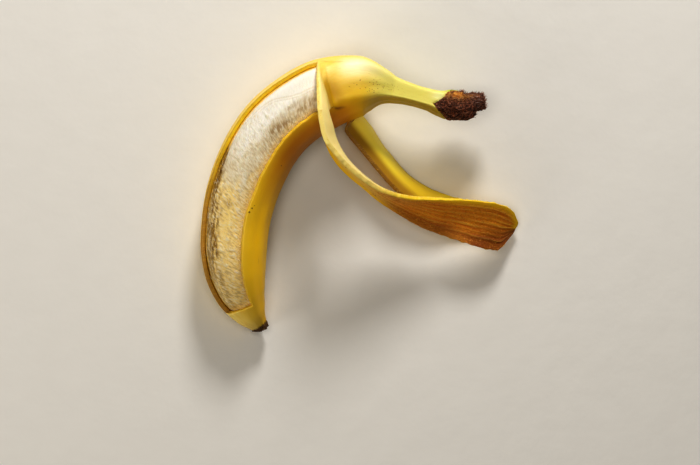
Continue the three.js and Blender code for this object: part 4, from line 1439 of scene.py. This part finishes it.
def scatter(name, carrier, share, lie, finish, *, seed, **amounts):
    """Threads on a carrier, its places in mm and its faces; share and lie hold a value for each place."""
    places, carrier_faces = carrier
    piece = mesh_object(name, places * MM, carrier_faces)
    paint(piece, "share", clipped(share))
    paint(piece, "lie", lie, "FLOAT_VECTOR")
    modifier = piece.modifiers.new("fibres", "NODES")
    modifier.node_group = fibre.tree
    named = fibre.inputs()
    for label, value in (("Seed", seed), ("Material", finish.material), *amounts.items()):
        modifier[named[label]] = value
    look = bpy.context.evaluated_depsgraph_get()
    mesh = bpy.data.meshes.new_from_object(piece.evaluated_get(look), preserve_all_data_layers=True,
                                           depsgraph=look)
    piece.modifiers.clear()
    carrier_mesh, piece.data = piece.data, mesh
    bpy.data.meshes.remove(carrier_mesh)
    keep_in_box(mesh)
    print(name, "threads", len(mesh.vertices) // THREAD_POINTS,
          "triangles", sum(len(face.vertices) - 2 for face in mesh.polygons))
    return piece


# %% Finishes of the fibres
DRIFT_SCALE = 900.0


def fibre_finish(name, dark, light, roughness):
    """A dark to light thread, by its own tone and by a drift over its neighbours."""
    finish = Finish(name)
    drift = finish.noise(finish.object_place(), DRIFT_SCALE, 3)
    tone = finish.attribute("tone")
    colour = finish.mix(tone * tone * 0.35 + drift.step(0.44, 0.64) * 0.65, dark, light)
    finish.surface({"Base Color": colour, "Roughness": roughness + drift * 0.15}, [(drift, 0.0001)])
    return finish


bark_fibre = fibre_finish("bark_fibre", (0.028, 0.008, 0.006), (0.74, 0.34, 0.22), 0.4)
felt_fibre = fibre_finish("felt_fibre", (0.80, 0.70, 0.48), (0.95, 0.92, 0.83), 0.55)
strand_fibre = fibre_finish("strand_fibre", (0.60, 0.25, 0.02), (0.95, 0.62, 0.12), 0.5)
frayed_fibre = fibre_finish("frayed_fibre", (0.78, 0.46, 0.04), (0.95, 0.78, 0.26), 0.5)
print("fibre nodes", len(bark_fibre.tree.nodes))

# %% Directions along the peel and the flesh
# on the body and the strips, each point's run is the way in which its length along the fruit grows
peel_run = np.zeros_like(outer)
for a, b in ((0, 1), (1, 2), (2, 3), (3, 0)):
    first, second = sheet[:, a], sheet[:, b]
    gain = (grown_length[second] - grown_length[first])[:, None] * (outer[second] - outer[first])
    for end in (first, second):
        np.add.at(peel_run, end, gain)
peel_run = unit(peel_run)
rim_outward = np.zeros_like(outer)
rim_outward[rim_points] = outward
flesh_run = unit(np.gradient(flesh_rings, axis=0))
flesh_across = unit(np.roll(flesh_rings, -1, axis=1) - np.roll(flesh_rings, 1, axis=1))
print("points with a direction", int((np.abs(peel_run).sum(axis=1) > 0.5).sum()))


# %% Fibres of the crown and the felt
def faces_of(finish):
    return [face for face, number in zip(faces, finishes) if number == finish]


bark_lie = np.full_like(outer, 3 ** -0.5)        # one way for the whole crown: outward, aside and up
whole_flesh = (flesh_points, flesh_faces)
barky = (0.35 + 0.65 * smooth(past_ragged_crown, 0.0, 6.0)) * (1 - 0.95 * rusty)
crown_fibres = scatter("crown_fibres", (points, faces_of(CROWN)), for_points(barky),
                       for_points(bark_lie), bark_fibre, seed=11, Density=1.7e6,
                       Shortest=0.0007, Longest=0.0019, Thickness=0.00010, Rise=0.22, Disorder=0.40, Curl=5.0)

wispy = clipped(olive * (1 - clipped(1.6 * hollow)) * (to_outer > 0.6) + 0.35 * border)
felt_wisps = scatter("felt_wisps", whole_flesh, with_tips(wispy * smooth(flesh_length, 15, 22)),
                     with_tips(flesh_run), felt_fibre, seed=12, Density=0.3e6,
                     Shortest=0.0008, Longest=0.0030, Thickness=0.00011, Rise=0.05, Disorder=0.40, Curl=4.0)

tufted = felt * smooth(tufts, 0.0, 0.4) * (1 - olive) * (1 - 0.6 * stain)
tufted = tufted * (to_outer > 0.8) * (to_inner > 0.8)
tuft_lie = flesh_across * math.cos(TUFT_SLANT) - flesh_run * math.sin(TUFT_SLANT)
felt_tufts = scatter("felt_tufts", whole_flesh, with_tips(tufted), with_tips(tuft_lie), felt_fibre,
                     seed=13, Density=2.4e6, Shortest=0.0010, Longest=0.0026, Thickness=0.00007, Rise=0.03,
                     Disorder=0.08, Curl=1.5)

# %% Strands of the lining and threads of the torn edge
matted = (0.12 + 0.88 * smooth(from_fold, 60, 80)) * smooth(noise(grown, (5, 5, 9), 66), -0.1, 0.5)
matted = on_near * (matted + 1.6 * blot(sheet_place, (hinge_length - 96, 14), 7, 4))
lining_strands = scatter("lining_strands", (points, faces_of(LINING)), for_points(matted, 0),
                         for_points(peel_run), strand_fibre, seed=14, Density=0.9e6, Shortest=0.0008,
                         Longest=0.0026, Thickness=0.00009, Rise=0.08, Disorder=0.35, Curl=4.0)

edge_frays = scatter("edge_frays", (points, faces_of(EDGE)), for_points(0.6 + 0.4 * noise(grown, 5.0, 67)),
                     for_points(0.5 * rim_outward + 0.9 * peel_run), frayed_fibre, seed=15, Density=1.0e6,
                     Shortest=0.0004, Longest=0.0010, Thickness=0.00007, Rise=0.10, Disorder=0.4, Curl=3.0)

# %% [markdown]
# ## Hand the pieces to the frame
# Nothing on the fruit moves by itself, so every piece rides on the one body. The fine peel and the
# fine flesh stand in for their plain solids, and the fibres only come on top of them.

# %% Ride and replace
for piece, slot in ((crown_fibres, "peel"), (lining_strands, "peel"), (edge_frays, "peel"),
                    (felt_wisps, "pulp"), (felt_tufts, "pulp")):
    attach(piece, "root")
for piece, node, slot in ((peel, "peel", "peel"), (flesh, "pulp", "pulp")):
    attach(piece, "root")
    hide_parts(node)
